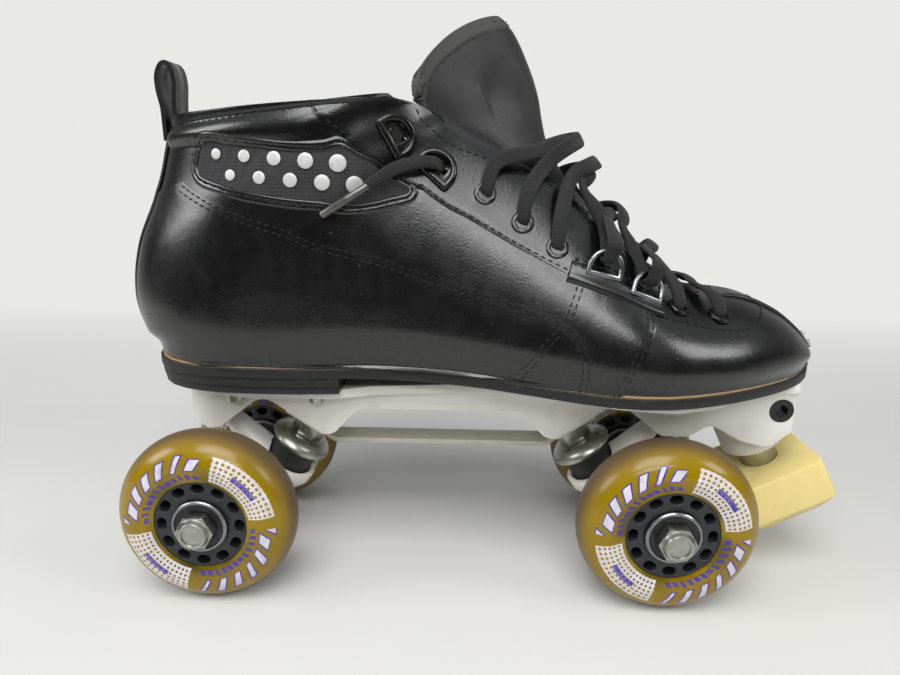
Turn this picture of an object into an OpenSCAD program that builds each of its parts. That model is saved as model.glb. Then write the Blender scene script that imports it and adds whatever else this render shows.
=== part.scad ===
// Quad speed skate: low leather boot on a cast plate, two cushioned trucks,
// four wheels on ball bearings and a screw-in toe stop.
// Millimetres. X points to the toe, Y to the inner side of a right skate, Z up, floor at z = 0.

/* [Wheels] */
// Wheel diameter
wheel_d = 72; // [66:0.5:74]
// Wheel width
wheel_w = 24; // [23:0.5:27]
// Diameter of the wheel's plastic core
core_d = 37; // [34:0.5:42]
// Number of holes round the core
core_holes = 12; // [8:1:14]
// Tangential length of a core hole
core_hole_l = 5.2; // [4:0.1:5.6]
// Radial width of a core hole
core_hole_w = 3.8; // [2.5:0.1:4.2]
// Ball bearing outer diameter
bearing_d = 22; // [22:0.5:24]
// Ball bearing width
bearing_w = 7; // [6:0.5:7]
// Bearing ball diameter
ball_d = 3.96; // [3.5:0.02:4.2]
// Axle diameter
axle_d = 8; // [7:0.5:8]
// How far a bearing stands out of the wheel's side
bearing_proud = 0.15; // [0:0.05:0.5]
// Axle nut height
axle_nut_h = 7.2; // [6:0.1:8]
// Axle nut size across flats
axle_nut_af = 13; // [12:0.5:14]
// How far the axle's end lies inside the nut's collar
axle_inset = 0.7; // [0.2:0.1:2]

/* [Trucks] */
// Distance between front and rear axles
wheelbase = 185; // [180:1:190]
// Distance between the middles of a pair of wheels
wheel_track = 83.2; // [81:0.2:90]
// Lean of the kingpins from upright
king_tilt = 34; // [33:0.5:36]
// Cushion washer centre, inboard of the axle
king_in = 30.5; // [30:0.5:32]
// Cushion washer centre, above the axle
king_h = 18.3; // [17.8:0.1:19]
// Kingpin diameter
king_d = 8; // [7:0.5:8]
// Truck pivot, outboard of the axle
pivot_out = 8; // [7:0.5:9]
// Truck pivot, above the axle
pivot_h = 30.5; // [29.5:0.5:31.5]
// Diameter of the ball on the pivot arm
pivot_ball_d = 10; // [9:0.5:10.5]
// Wall of the rubber pivot cup
pivot_cup_t = 1.6; // [1.2:0.1:2]
// Cushion diameter
cushion_d = 21.6; // [20:0.2:22]
// Cushion washer diameter
washer_d = 28; // [26:0.5:29]
// Sheet thickness of the cushion washer
washer_t = 2; // [1.5:0.1:2.2]
// Washer top to cushion seat
seat_drop = 20; // [19:0.5:21]
// Thickness of the hanger under the cushion
seat_t = 5.4; // [5:0.1:6]
// Depth of the hanger's cushion cup
cup_depth = 4.4; // [3:0.2:5]
// Wall of the hanger's cushion cup
cup_wall = 2.2; // [1.8:0.1:2.6]
// Lower cushion height
low_cushion_h = 5.8; // [5:0.1:6.4]
// Lower cushion diameter
low_cushion_d = 14; // [13:0.2:14.4]
// Hanger barrel diameter
barrel_d = 15; // [14:0.5:16]
// Jam nut height
jam_nut_h = 6.4; // [6:0.1:7]
// Kingpin nuts' size across flats
king_nut_af = 13; // [12:0.5:13]

/* [Plate] */
// Heel seat above the axles
seat_h = 48.3; // [47.5:0.1:50]
// Rise of the ball's seat above the heel seat
ball_rise = 3.3; // [2:0.1:5]
// Deck thickness
deck_t = 3.8; // [3.2:0.1:4.4]
// Half width of the plate's walls
wall_half = 18; // [17:0.5:18.5]
// Wall thickness
wall_t = 5; // [4:0.5:5.5]
// Half width of the knees that hold the kingpins
knee_half = 12; // [11:0.5:13]
// Half width of the deck under the ball
deck_ball_half = 45; // [42:0.5:46]
// Half width of the deck under the heel
deck_heel_half = 27; // [26.5:0.5:28]
// Mounting screw diameter
screw_d = 4.8; // [4:0.1:5]

/* [Tie bar] */
// Tie bar width
tie_w = 12.5; // [12:0.5:15]
// Tie bar thickness
tie_t = 2.2; // [1.8:0.1:2.4]
// Tie bar underside above the axles
tie_h = 16.3; // [15.6:0.1:17]
// Length of the tie bar's ends past the kingpin
tie_lip = 7.7; // [7:0.1:8.5]

/* [Toe stop] */
// Lean of the stem from upright
toe_tilt = 27; // [25:0.5:29]
// Toe stop face ahead of the front axle
toe_ahead = 53.6; // [52:0.1:55]
// Toe stop face above the axles
toe_h = 11; // [9:0.1:12]
// Stem diameter
stem_d = 16; // [14:0.5:16]
// Length of stem inside the plate and in the gap
stem_up = 36; // [32:0.5:37]
// Gap between the plate's lug and the block
toe_gap = 9.5; // [8.5:0.1:10.5]
// Block length
block_l = 38.6; // [34:0.2:42]
// Block width
block_w = 44; // [38:0.5:46]
// Block height
block_h = 22; // [18:0.5:24]

/* [Sole] */
// Lower heel lift
lift_low_t = 3.1; // [2.5:0.1:4]
// Upper heel lift
lift_up_t = 3.6; // [3:0.1:4.5]
// Outsole thickness
outsole_t = 4.3; // [3.5:0.1:5.5]
// Midsole thickness
midsole_t = 0.9; // [0.6:0.1:1.5]

/* [Boot] */
// Length of the boot
boot_l = 295; // [285:1:300]
// Width of the boot at the ball
ball_w = 103; // [98:0.5:108]
// Height of the boot's collar above the sole
shaft_h = 104; // [98:0.5:110]
// Thickness of the upper
upper_t = 3; // [2.5:0.1:3.4]
// Insole thickness
insole_t = 2.8; // [2:0.1:4]
// Tongue thickness
tongue_t = 2.6; // [2:0.1:3.2]
// Pull loop width
loop_w = 12; // [10:0.5:14]
// Pull loop strap thickness
loop_t = 1.8; // [1.4:0.1:2.2]
// Backstay strip width
backstay_w = 20; // [16:0.5:26]

/* [Lacing] */
// Lace thickness
lace_d = 3.4; // [3:0.1:3.6]
// Eyelet bore
eyelet_bore = 5.2; // [4.8:0.1:5.6]
// Eyelet flange diameter
eyelet_d = 9.2; // [8.5:0.1:10]
// Wire loop thickness
wire_d = 2; // [1.6:0.1:2.4]
// Wire loop length along its straight bar
wire_l = 14; // [12:0.5:15]
// Ring eyelet length along its straight bar
ring_l = 17; // [16:0.5:18]
// Ring eyelet wire thickness
ring_wire = 3; // [2.4:0.1:3.2]

/* [Hidden] */
$fn = 48;

// Middle of the wheelbase, behind the middle of the whole skate
base_x = -18.5;
rear_x = base_x - wheelbase / 2;
front_x = base_x + wheelbase / 2;
axle_z = wheel_d / 2;
axle_r = axle_d / 2;
wheel_y = wheel_track / 2;
// Running clearance in a bearing
ball_fit = 0.06;
bearing_mid = wheel_w / 2 + bearing_proud - bearing_w / 2;
bearing_out = wheel_w / 2 + bearing_proud;
race_pitch = (bearing_d / 2 + axle_r) / 2;
race_wall = ball_d * 0.48;
hanger_half = wheel_y - bearing_out;
nut_end = wheel_y + bearing_out + axle_nut_h;
axle_half = nut_end - axle_inset;
// Clearance of a part in a hole that doesn't turn
loose = 0.2;

king_r = king_d / 2;
knee_face = jam_nut_h + tie_t;
steer_at = seat_drop + 2;
steer_x = king_in - steer_at * sin(king_tilt);
steer_z = king_h - steer_at * cos(king_tilt);
steer_tilt = atan2(steer_x + pivot_out, pivot_h - steer_z);
arm_l = norm([steer_x + pivot_out, pivot_h - steer_z]);
pivot_r = pivot_ball_d / 2;
pivot_fit = 0.06;
cup_out_r = pivot_r + pivot_fit + pivot_cup_t;
cup_r = cushion_d / 2 + 0.5;
bowl_r = cup_r + cup_wall;
low_top = seat_drop + seat_t;
low_washer_t = 1.6;
// Room round the lower cushion for the hanger to tilt
low_room = 2.3;
// Height of the axle nut's collar
nut_collar = 2.4;
low_nut_top = low_top + low_cushion_h + low_washer_t;
low_nut_h = 7;
king_end = low_nut_top + low_nut_h + 1.5;

heel_z = axle_z + seat_h;
ball_z = heel_z + ball_rise;
lifts_t = lift_low_t + lift_up_t;
stack_t = outsole_t + midsole_t;
// Where the sole slopes from the heel's level down to the ball's
waist_back = -45;
waist_front = 45;
heel_front_x = -58.5;
deck_slope = [-58, 24];
deck_rear_x = -131;
deck_front_x = 133;

toe_x = front_x + toe_ahead;
toe_z = axle_z + toe_h;
stem_r = stem_d / 2;
// How far the stem can be screwed in from where it stands
toe_in = 2;
lug_r = stem_r + 5.5;
clamp_off = stem_r + 3.4;
clamp_up = 26.5;
clamp_r = 3;
clamp_head_r = 5;
clamp_head_h = 5;

// Boot scale against the sizes that the rings below are written for
bl = boot_l / 295;
bw = ball_w / 103;
bh = shaft_h / 104;
// Rings from toe to collar: top x, top height, bottom x, bottom height, half width, offset,
// shaft share of the upper part and of the lower part
rings = [
  [144, 4.4, 143.6, -0.2, 6, 7, 0, 0], [141.5, 8.2, 141.5, -0.5, 13, 6.8, 0, 0],
  [135, 15.2, 135.5, -0.6, 20, 6, 0, 0], [123, 24, 124.5, -0.6, 29.5, 5, 0, 0],
  [106, 31.2, 107.5, -0.6, 39.5, 3, 0, 0], [86, 33.7, 88, -0.6, 46.5, 1, 0, 0],
  [66, 40.7, 66, -0.6, 51, -0.5, 0, 0], [47, 60, 36, -0.6, 47, -1.5, 0, 0],
  [30, 76.6, 2, -0.6, 39, -2, 0, 0], [13, 88, -38, -0.6, 35.5, -1, 0.12, 0.02],
  [0, 95.8, -88, -0.6, 35.5, 0, 0.3, 0.05], [-7, 99.8, -137, -0.5, 35.5, 0, 0.6, 0.45],
  [-10, 101.3, -145.3, 7.3, 35.5, 0, 0.85, 0.8], [-12, 102.3, -149.3, 23.3, 35, 0, 1, 1],
  [-13.5, 103.1, -146, 44.3, 34.5, 0, 1, 1], [-15, 103.8, -136.6, 66.3, 33.5, 0, 1, 1],
  [-16, 103.8, -131.4, 81.8, 33.5, 0, 1, 1], [-17, 103.3, -128.5, 95.3, 33.5, 0, 1, 1]
];
last_ring = len(rings) - 1;
// Half sections, from bottom middle to top middle: share of the height, share of the half width
foot_section = [[0, 0], [0, 0.3], [0, 0.62], [0, 0.9], [0.03, 0.97], [0.12, 1], [0.26, 1],
  [0.42, 0.965], [0.58, 0.88], [0.73, 0.74], [0.86, 0.55], [0.95, 0.31], [1, 0]];
shaft_section = [[0, 0], [0.012, 0.2], [0.045, 0.38], [0.1, 0.56], [0.18, 0.73], [0.28, 0.87],
  [0.4, 0.965], [0.52, 1], [0.64, 0.985], [0.76, 0.9], [0.87, 0.72], [0.955, 0.42], [1, 0]];
// Outline of the sole, from the heel's back round the outer side to the toe and back
sole_line = [[-141, 0], [-138.5, -13], [-130, -24.5], [-116, -31.5], [-98, -34], [-75, -34],
  [-50, -32], [-25, -32], [0, -36], [25, -44], [48, -50.5], [68, -51.5], [88, -45.5], [106, -36.5],
  [122, -26], [134, -14.5], [141.5, -3], [144, 7], [141.5, 18], [134, 27], [122, 35.5], [106, 43],
  [88, 48], [66, 50], [45, 45], [22, 36], [0, 31], [-25, 30], [-50, 31.5], [-75, 33.5], [-98, 33.5],
  [-116, 31], [-130, 24.5], [-138.5, 13]];
// Half outline of the deck as shares of its heel and ball widths
deck_half = [[-131, 0, 4], [-128.5, 0.5, 8], [-114, 0.92, 12], [-98, 1, 10], [-64, 1, 12], [-46, 0.82, 14],
  [2, 0.8, 20], [52, 1.55, 20], [72, 1.667, 14], [92, 1.4, 14], [108, 0.8, 10], [133, 0.68, 3]];
// Half widths of the throat between the facings
throat = [[96, 5], [86, 9], [60, 11.5], [30, 15], [3, 17.3], [-19, 18.5], [-32, 21], [-62, 21]];
// Tongue stations: x, height above the heel's feather line, half width, wrap back, wrap down
tongue_line = [[95, 25.2, 3.6, -0.3, -0.6], [84, 31, 7.4, -0.6, -1.4], [66, 41, 9.6, -1.5, -2],
  [48, 57, 11.6, -3, -3], [33, 72.4, 13.4, -6, -5], [25, 85.3, 15, -14, -7], [21.5, 94.5, 16, -25, -9],
  [18.5, 105.3, 17, -37, -13], [13.5, 117.3, 18.5, -42, -20], [8.5, 126.8, 20, -44, -26],
  [3, 133.6, 20.5, -39, -31]];
tongue_n = 10;
// Eyelet rows from the toe up: place along the boot, place round the section
eyelet_rows = [[4.8, 9.4], [5.65, 9.5], [7.8, 8.7], [8.4, 8.9], [9.1, 9.2]];
wire_rows = [[6.35, 9], [7.05, 8.7]];
ring_rows = [[10.1, 9.5], [12.8, 9.7]];
// Where the lace lies across the tongue, in tongue stations from the toe up
cross_at = [0.9, 2, 2.9, 3.9, 4.8];
// How far a crossing lace climbs from the middle of the tongue to its edge, in stations
cross_rise = 0.2;
// Free ends of the lace: place along the boot, place round the section, height above the upper
end_line = [[10.31, 9.42, 5.3], [10.44, 9.38, 6.7], [10.6, 9.32, 7.1], [10.76, 9.25, 6.6],
  [10.91, 9.16, 5.6], [11.03, 9.02, 4.9], [11.12, 8.6, 4]];
aglet_tip = [11.3, 7.75, 2.6];
lace_r = lace_d / 2;
lace_sides = 8;
wire_r = wire_d / 2;
eyelet_wall = 0.6;
// Legs of a ring eyelet between its straight bar and its round end
ring_leg = 2.5;
ring_turn = (ring_l - ring_wire) / 2;
ring_bar_x = -ring_leg / 2 - ring_turn / 2;
// Slot in the upper for the lace, in a ring eyelet
slot_w = 6.2;
slot_l = 9.6;
// Wire loop: rise off the upper, half width, legs, height of its bar and reach
wire_rise = 28;
wire_turn = (wire_l - wire_d) / 2;
wire_leg = 3;
wire_up = wire_r + 0.4;
wire_end = wire_leg + wire_turn;
// Heights of the lace below the upper, over an eyelet and over the tongue
lace_in = upper_t + lace_r + 0.6;
lace_out = lace_r + 2.2;
lace_off = lace_r + 1.4;

function unit(v) = v / norm(v);
function mix(a, b, t) = a + (b - a) * t;
function spline(a, b, c, d, t) =
  b + 0.5 * t * ((c - a) + t * ((2 * a - 5 * b + 4 * c - d) + t * (3 * b - a - 3 * c + d)));
function along(list, u) =
  let (n = len(list), i = min(floor(u), n - 2))
  spline(list[max(i - 1, 0)], list[i], list[i + 1], list[min(i + 2, n - 1)], u - i);
function closed_spline(p, m) =
  let (n = len(p))
  [for (i = [0 : n - 1], j = [0 : m - 1])
    spline(p[(i + n - 1) % n], p[i], p[(i + 1) % n], p[(i + 2) % n], j / m)];
function corner(a, b, c, r, n = 5) =
  let (u = unit(a - b), v = unit(c - b), h = acos(u * v) / 2, m = b + unit(u + v) * r / sin(h),
    p = b + u * r / tan(h) - m, q = b + v * r / tan(h) - m,
    s = atan2(p.y, p.x), w = atan2(q.y, q.x) - s, e = w > 180 ? w - 360 : w < -180 ? w + 360 : w)
  r <= 0 ? [b] : [for (i = [0 : n]) m + r * [cos(s + e * i / n), sin(s + e * i / n)]];
function xy(p) = [p.x, p.y];
function rounded(p) =
  let (n = len(p))
  [for (i = [0 : n - 1]) each corner(xy(p[(i + n - 1) % n]), xy(p[i]), xy(p[(i + 1) % n]), p[i][2])];

// Height of the line where upper and sole meet
function feather(x) =
  let (t = min(max((x - waist_back) / (waist_front - waist_back), 0), 1))
  mix(heel_z + lifts_t, ball_z, t) + stack_t;
function ring(u) =
  let (r = along(rings, u), f = feather(r[2] * bl))
  [r[0] * bl, f + r[1] * bh, r[2] * bl, f + r[3] * bh, r[4] * bw, r[5] * bw, r[6], r[7]];
function section(upper_share, lower_share) =
  [for (k = [0 : len(foot_section) - 1])
    mix(foot_section[k], shaft_section[k], mix(lower_share, upper_share, min(max((k - 4) / 3, 0), 1)))];
// Point of the upper's surface, set in by d, at place u along the boot and k round the half section
function skin(u, k, side, d = 0) =
  let (r = ring(u), l = norm([r[0] - r[2], r[1] - r[3]]), e = [r[0] - r[2], r[1] - r[3]] / l,
    s = section(r[6], r[7]), i = min(floor(k), len(s) - 2), q = mix(s[i], s[i + 1], k - i),
    a = d + (l - 2 * d) * q.x)
  [r[2] + e.x * a, r[5] + side * (r[4] - d) * q.y, r[3] + e.y * a];
function skin_normal(u, k, side) =
  unit(cross(skin(u + 0.1, k, side) - skin(u - 0.1, k, side),
    skin(u, k + 0.4, side) - skin(u, k - 0.4, side)) * side);
function skin_up(p, side) =
  square_to(skin(p[0], p[1] + 0.5, side) - skin(p[0], p[1] - 0.5, side), skin_normal(p[0], p[1], side));
function off_skin(p, side, h) = skin(p[0], p[1], side) + skin_normal(p[0], p[1], side) * h;
function skin_ring(u, d) =
  let (n = len(foot_section) - 1)
  concat([for (k = [0 : n]) skin(u, k, -1, d)], [for (k = [n - 1 : -1 : 1]) skin(u, k, 1, d)]);

module at_truck(x) {
  translate([x, 0, axle_z])
    mirror([x > base_x ? 1 : 0, 0, 0])
      children();
}
module on_king() {
  translate([king_in, 0, king_h])
    rotate([0, king_tilt, 0])
      children();
}
module on_steer() {
  translate([steer_x, 0, steer_z])
    rotate([0, -steer_tilt, 0])
      children();
}
module on_toe() {
  translate([toe_x, 0, toe_z])
    rotate([0, -toe_tilt, 0])
      children();
}
module across(half) {
  rotate([90, 0, 0])
    linear_extrude(2 * half, center = true)
      children();
}
module at_wheel(x, side) {
  translate([x, side * wheel_y, axle_z])
    rotate([90, 0, 0])
      children();
}
module each_truck() {
  for (x = [rear_x, front_x]) {
    at_truck(x)
      children();
  }
}
// Stacks rings of n points each; a thin ring's ends are closed across it, a full one's from its middle point
module stack(rows, n, thin = false) {
  last = len(rows) - 1;
  h = n / 2;
  sides = [for (i = [0 : last - 1], j = [0 : n - 1])
    let (a = i * n + j, b = i * n + (j + 1) % n, c = b + n, d = a + n) each [[a, d, c], [a, c, b]]];
  cap = thin ? [for (j = [0 : h - 2]) each [[j, j + 1, n - 1 - j], [j + 1, n - 2 - j, n - 1 - j]]] :
    [for (j = [1 : n - 2]) [h, (h + j) % n, (h + j + 1) % n]];
  caps = concat(cap, [for (f = cap) [f[0], f[2], f[1]] + [1, 1, 1] * last * n]);
  polyhedron([for (r = rows) each r], concat(sides, caps), convexity = 8);
}
// Solid between the toe and the collar, set in by d and raised at the collar by lift
module foot_solid(d, first, lift) {
  n = 2 * len(foot_section) - 2;
  top = [for (p = skin_ring(last_ring, d)) p + [0, 0, lift]];
  body = [for (u = [first : 0.5 : last_ring]) skin_ring(u, d)];
  stack(lift > 0 ? concat(body, [top]) : body, n);
}
// Thin layer lying on the upper, from the ankle back
module on_upper(gap, t) {
  difference() {
    foot_solid(-gap - t, 9, 0);
    foot_solid(-gap, 8.5, 1);
  }
}
function eased(p, d) =
  let (n = len(p))
  [for (i = [0 : n - 1]) each
    i == 0 || i == n - 1 ? [p[i]] :
      let (a = p[i - 1] - p[i], b = p[i + 1] - p[i])
      unit(a) * unit(b) < -0.8 ? [p[i]] :
        [p[i] + unit(a) * min(d, norm(a) * 0.45), p[i] + unit(b) * min(d, norm(b) * 0.45)]];
function tangent(p, i) = unit(p[min(i + 1, len(p) - 1)] - p[max(i - 1, 0)]);
function square_to(v, t) = unit(v - t * (v * t));
function tube_rows(p, r, n) =
  [for (i = 0, t = tangent(p, 0), v = square_to([0.31, 0.2, 0.93], t); i < len(p);
    i = i + 1, t = tangent(p, min(i, len(p) - 1)), v = square_to(v, t))
    let (w = cross(t, v))
    [for (j = [0 : n - 1]) p[i] + r * (v * cos(-360 * j / n) + w * sin(-360 * j / n))]];
module tube(p, r, n) {
  stack(tube_rows(p, r, n), n);
}

// Plate

function king_pt(out, up) =
  [king_in + up * sin(king_tilt) - out * cos(king_tilt), king_h + up * cos(king_tilt) + out * sin(king_tilt)];
function rear_pt(p, r = 0) = [rear_x + p.x, axle_z + p.y, r];
function front_pt(p, r = 0) = [front_x - p.x, axle_z + p.y, r];
// Side view of the plate's walls, with the knees' faces at the given height on the kingpins
function wall_side(face) = rounded([
  [deck_rear_x, heel_z - deck_t / 2, 0], rear_pt([-17, pivot_h + 5], 4), rear_pt([-12.5, pivot_h - 3.1], 4),
  rear_pt([-2.5, pivot_h - 3.1], 3), rear_pt(king_pt(25, face), 8), rear_pt(king_pt(-7, face), 4),
  rear_pt([47.5, 26], 4), rear_pt([57.5, 37.2], 10), front_pt([57.5, 37.2], 10), front_pt([47.5, 26], 4),
  front_pt(king_pt(-7, face), 4), front_pt(king_pt(25, face), 8), front_pt([-2.5, pivot_h - 3.1], 3),
  front_pt([-14, pivot_h - 3.1], 3), front_pt([-23, pivot_h + 2.6], 5),
  [toe_x - 17.6, toe_z + 15, 5], [toe_x - 6, toe_z + 12, 5], [deck_front_x - 1, toe_z + 20, 3],
  [deck_front_x, ball_z - deck_t / 2, 0], [deck_slope[1], ball_z - deck_t / 2, 0],
  [deck_slope[0], heel_z - deck_t / 2, 0]
]);
function deck_outline() =
  let (half = [for (p = deck_half) [p.x, p.y * mix(deck_heel_half, deck_ball_half * 0.6,
    min(max((p.x + 20) / 60, 0), 1)), p[2]]])
  rounded(concat([for (i = [0 : len(half) - 1]) [half[i].x, -half[i].y, half[i][2]]],
    [for (i = [len(half) - 1 : -1 : 1]) half[i]]));
module deck() {
  intersection() {
    translate([0, 0, heel_z - 20])
      linear_extrude(40)
        polygon(deck_outline());
    across(60)
      polygon([[-140, heel_z - deck_t], [deck_slope[0], heel_z - deck_t], [deck_slope[1], ball_z - deck_t],
        [140, ball_z - deck_t], [140, ball_z], [deck_slope[1], ball_z], [deck_slope[0], heel_z],
        [-140, heel_z]]);
  }
}
module walls() {
  intersection() {
    union() {
      across(wall_half)
        polygon(wall_side(knee_face + 3.6));
      across(knee_half)
        polygon(wall_side(knee_face));
    }
    translate([0, 0, axle_z])
      linear_extrude(100)
        polygon(rounded([[deck_rear_x + 1, -wall_half, 15], [deck_front_x, -wall_half, 3],
          [deck_front_x, wall_half, 3], [deck_rear_x + 1, wall_half, 15]]));
  }
}
module channels() {
  half = wall_half - wall_t;
  each_truck() {
    across(half)
      polygon([[4, 10], [4, seat_h - deck_t], [33, seat_h - deck_t], king_pt(13, knee_face), [20, 10]]);
  }
  across(half)
    polygon([[rear_x + 53, axle_z + 15], [front_x - 53, axle_z + 15], [front_x - 53, ball_z - deck_t - 0.6],
      [deck_slope[1], ball_z - deck_t], [deck_slope[0], heel_z - deck_t], [rear_x + 53, heel_z - deck_t]]);
}
module screw_places() {
  for (p = [[-104, 22.4, 0], [-70, 22.4, 0], [46, 27, 1], [74, 34, 1]], s = [-1, 1]) {
    translate([p.x, s * p.y, p[2] > 0 ? ball_z : heel_z])
      children();
  }
}
module clamp_place() {
  on_toe()
    translate([clamp_off, 0, clamp_up])
      rotate([90, 0, 0])
        children();
}
module plate() {
  color("white")
    difference() {
      union() {
        deck();
        difference() {
          walls();
          channels();
        }
        intersection() {
          on_toe()
            translate([0, 0, toe_gap])
              cylinder(r = lug_r, h = 60);
          translate([-200, -60, 0])
            cube([400, 120, ball_z - deck_t / 2]);
        }
      }
      each_truck() {
        on_king()
          translate([0, 0, jam_nut_h])
            cylinder(r = king_r, h = 20);
        on_steer()
          translate([0, 0, arm_l - 16])
            cylinder(r = cup_out_r, h = 16 + pivot_r + 3);
      }
      on_toe()
        cylinder(r = stem_r, h = stem_up + toe_in + 1);
      translate([toe_x - 14, -1, toe_z])
        cube([40, 2, ball_z - deck_t - toe_z - 1]);
      clamp_place() {
        cylinder(r = clamp_r, h = 60, center = true);
        translate([0, 0, wall_half - clamp_head_h])
          cylinder(r = clamp_head_r + loose, h = 20);
      }
      screw_places()
        translate([0, 0, -30])
          cylinder(d = screw_d, h = 40);
    }
}
module clamp_screw() {
  color("#222222")
    clamp_place()
      difference() {
        union() {
          translate([0, 0, 1 - wall_half])
            cylinder(r = clamp_r, h = 2 * wall_half - 1 - clamp_head_h);
          translate([0, 0, wall_half - clamp_head_h])
            cylinder(r = clamp_head_r, h = clamp_head_h);
        }
        translate([0, 0, wall_half - 3])
          cylinder(d = 5.8, h = 5, $fn = 6);
      }
}
module mounting_screws() {
  color("silver")
    screw_places() {
      translate([0, 0, -deck_t - 2.6])
        cylinder(d1 = screw_d + 2, d2 = screw_d + 3, h = 2.6);
      translate([0, 0, -deck_t])
        cylinder(d = screw_d, h = deck_t + stack_t - 1);
    }
}
module tie_bar() {
  low = (tie_h - king_h - jam_nut_h * cos(king_tilt)) / sin(king_tilt);
  top = (tie_h + tie_t - king_h - knee_face * cos(king_tilt)) / sin(king_tilt);
  p = [king_pt(tie_lip, jam_nut_h), king_pt(low, jam_nut_h), king_pt(top, knee_face),
    king_pt(tie_lip, knee_face)];
  color("gainsboro")
    difference() {
      across(tie_w / 2)
        polygon(rounded([rear_pt(p[0]), rear_pt(p[1], 4), front_pt(p[1], 4), front_pt(p[0]),
          front_pt(p[3]), front_pt(p[2], 2), rear_pt(p[2], 2), rear_pt(p[3])]));
      each_truck()
        on_king()
          cylinder(r = king_r + loose, h = 40, center = true);
    }
}

// Kingpins and cushions

module nut(af, h, r) {
  difference() {
    cylinder(d = af / cos(30), h = h, $fn = 6);
    translate([0, 0, -1])
      cylinder(r = r, h = h + 2);
  }
}
module kingpins() {
  color("silver")
    each_truck()
      on_king()
        translate([0, 0, -king_end])
          cylinder(r = king_r, h = king_end + jam_nut_h + 20);
}
module jam_nuts() {
  color("silver")
    each_truck()
      on_king()
        nut(king_nut_af, jam_nut_h, king_r);
}
module kingpin_nuts() {
  color("silver")
    each_truck()
      on_king()
        translate([0, 0, -low_nut_top - low_nut_h])
          nut(king_nut_af, low_nut_h, king_r);
}
module cushion_washers() {
  r = washer_d / 2;
  color("silver")
    each_truck()
      on_king()
        rotate_extrude()
          polygon([[king_r, 0], [r - 6, 0], [r - 2, -1.4], [r, -3.6], [r, -5.2], [r - 1.6, -5.2],
            [r - 2.6, -1.4 - washer_t], [r - 6, -washer_t], [king_r, -washer_t]]);
}
module lower_washers() {
  color("silver")
    each_truck()
      on_king()
        translate([0, 0, -low_nut_top])
          difference() {
            cylinder(d = low_cushion_d + 0.6, h = low_washer_t);
            translate([0, 0, -1])
              cylinder(r = king_r, h = low_washer_t + 2);
          }
}
module top_cushion(x) {
  r = cushion_d / 2;
  edge = washer_d / 2 - 6;
  color("#181818")
    at_truck(x)
      on_king()
        rotate_extrude()
          polygon([[king_r + loose, -washer_t], [edge, -washer_t], [r - 0.2, -washer_t - 1.8],
            [r, -8], [r - 0.5, -seat_drop + 6], [r, -seat_drop], [king_r + loose, -seat_drop]]);
}
module low_cushion(x) {
  r = low_cushion_d / 2;
  color("#181818")
    at_truck(x)
      on_king()
        rotate_extrude()
          polygon([[king_r + loose, -low_top], [r, -low_top], [r - 0.5, -low_top - low_cushion_h],
            [king_r + loose, -low_top - low_cushion_h]]);
}
module rear_top_cushion() {
  top_cushion(rear_x);
}
module front_top_cushion() {
  top_cushion(front_x);
}
module rear_low_cushion() {
  low_cushion(rear_x);
}
module front_low_cushion() {
  low_cushion(front_x);
}
module pivot_cups() {
  color("#202020")
    each_truck()
      on_steer()
        translate([0, 0, arm_l])
          difference() {
            translate([0, 0, -4.5])
              cylinder(r = cup_out_r, h = 4.5 + pivot_r + 3);
            sphere(r = pivot_r + pivot_fit);
            translate([0, 0, -6])
              cylinder(r = pivot_r + pivot_fit, h = 6);
          }
}

// Trucks

module hanger(x) {
  r = barrel_d / 2;
  flat = hanger_half - 6;
  color("whitesmoke")
    at_truck(x)
      difference() {
        union() {
          rotate([90, 0, 0])
            rotate_extrude()
              polygon([[0, -hanger_half], [axle_r + 2.2, -hanger_half], [r, -flat], [r, flat],
                [axle_r + 2.2, hanger_half], [0, hanger_half]]);
          on_king()
            rotate_extrude()
              polygon([[0, -low_top], [bowl_r - 3, -low_top], [bowl_r, -low_top + 5],
                [bowl_r, -seat_drop + cup_depth], [0, -seat_drop + cup_depth]]);
          hull() {
            rotate([90, 0, 0])
              cylinder(r = r - 0.4, h = 2 * flat - 8, center = true);
            on_king()
              translate([0, 0, -low_top])
                cylinder(r = bowl_r - 3.5, h = 4);
          }
          on_steer()
            rotate_extrude()
              polygon([[0, 9], [8, 9], [pivot_r, arm_l - 11], [pivot_r - 1, arm_l - 6], [pivot_r - 1, arm_l],
                [0, arm_l]]);
          on_steer()
            translate([0, 0, arm_l])
              sphere(r = pivot_r);
        }
        on_king() {
          translate([0, 0, -seat_drop])
            cylinder(r = cup_r, h = 60);
          translate([0, 0, -60])
            cylinder(r = king_r + 1.5, h = 60);
          translate([0, 0, -low_top - 30]) {
            cylinder(r = low_cushion_d / 2 + low_room, h = 30);
            translate([-low_cushion_d / 2 - low_room, -2.5, 0])
              cube([low_cushion_d + 2 * low_room, 5, 30]);
          }
        }
        rotate([90, 0, 0])
          cylinder(r = axle_r, h = 4 * wheel_y, center = true);
      }
}
module axle(x) {
  color("silver")
    translate([x, 0, axle_z])
      rotate([90, 0, 0])
        cylinder(r = axle_r, h = 2 * axle_half, center = true);
}
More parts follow.
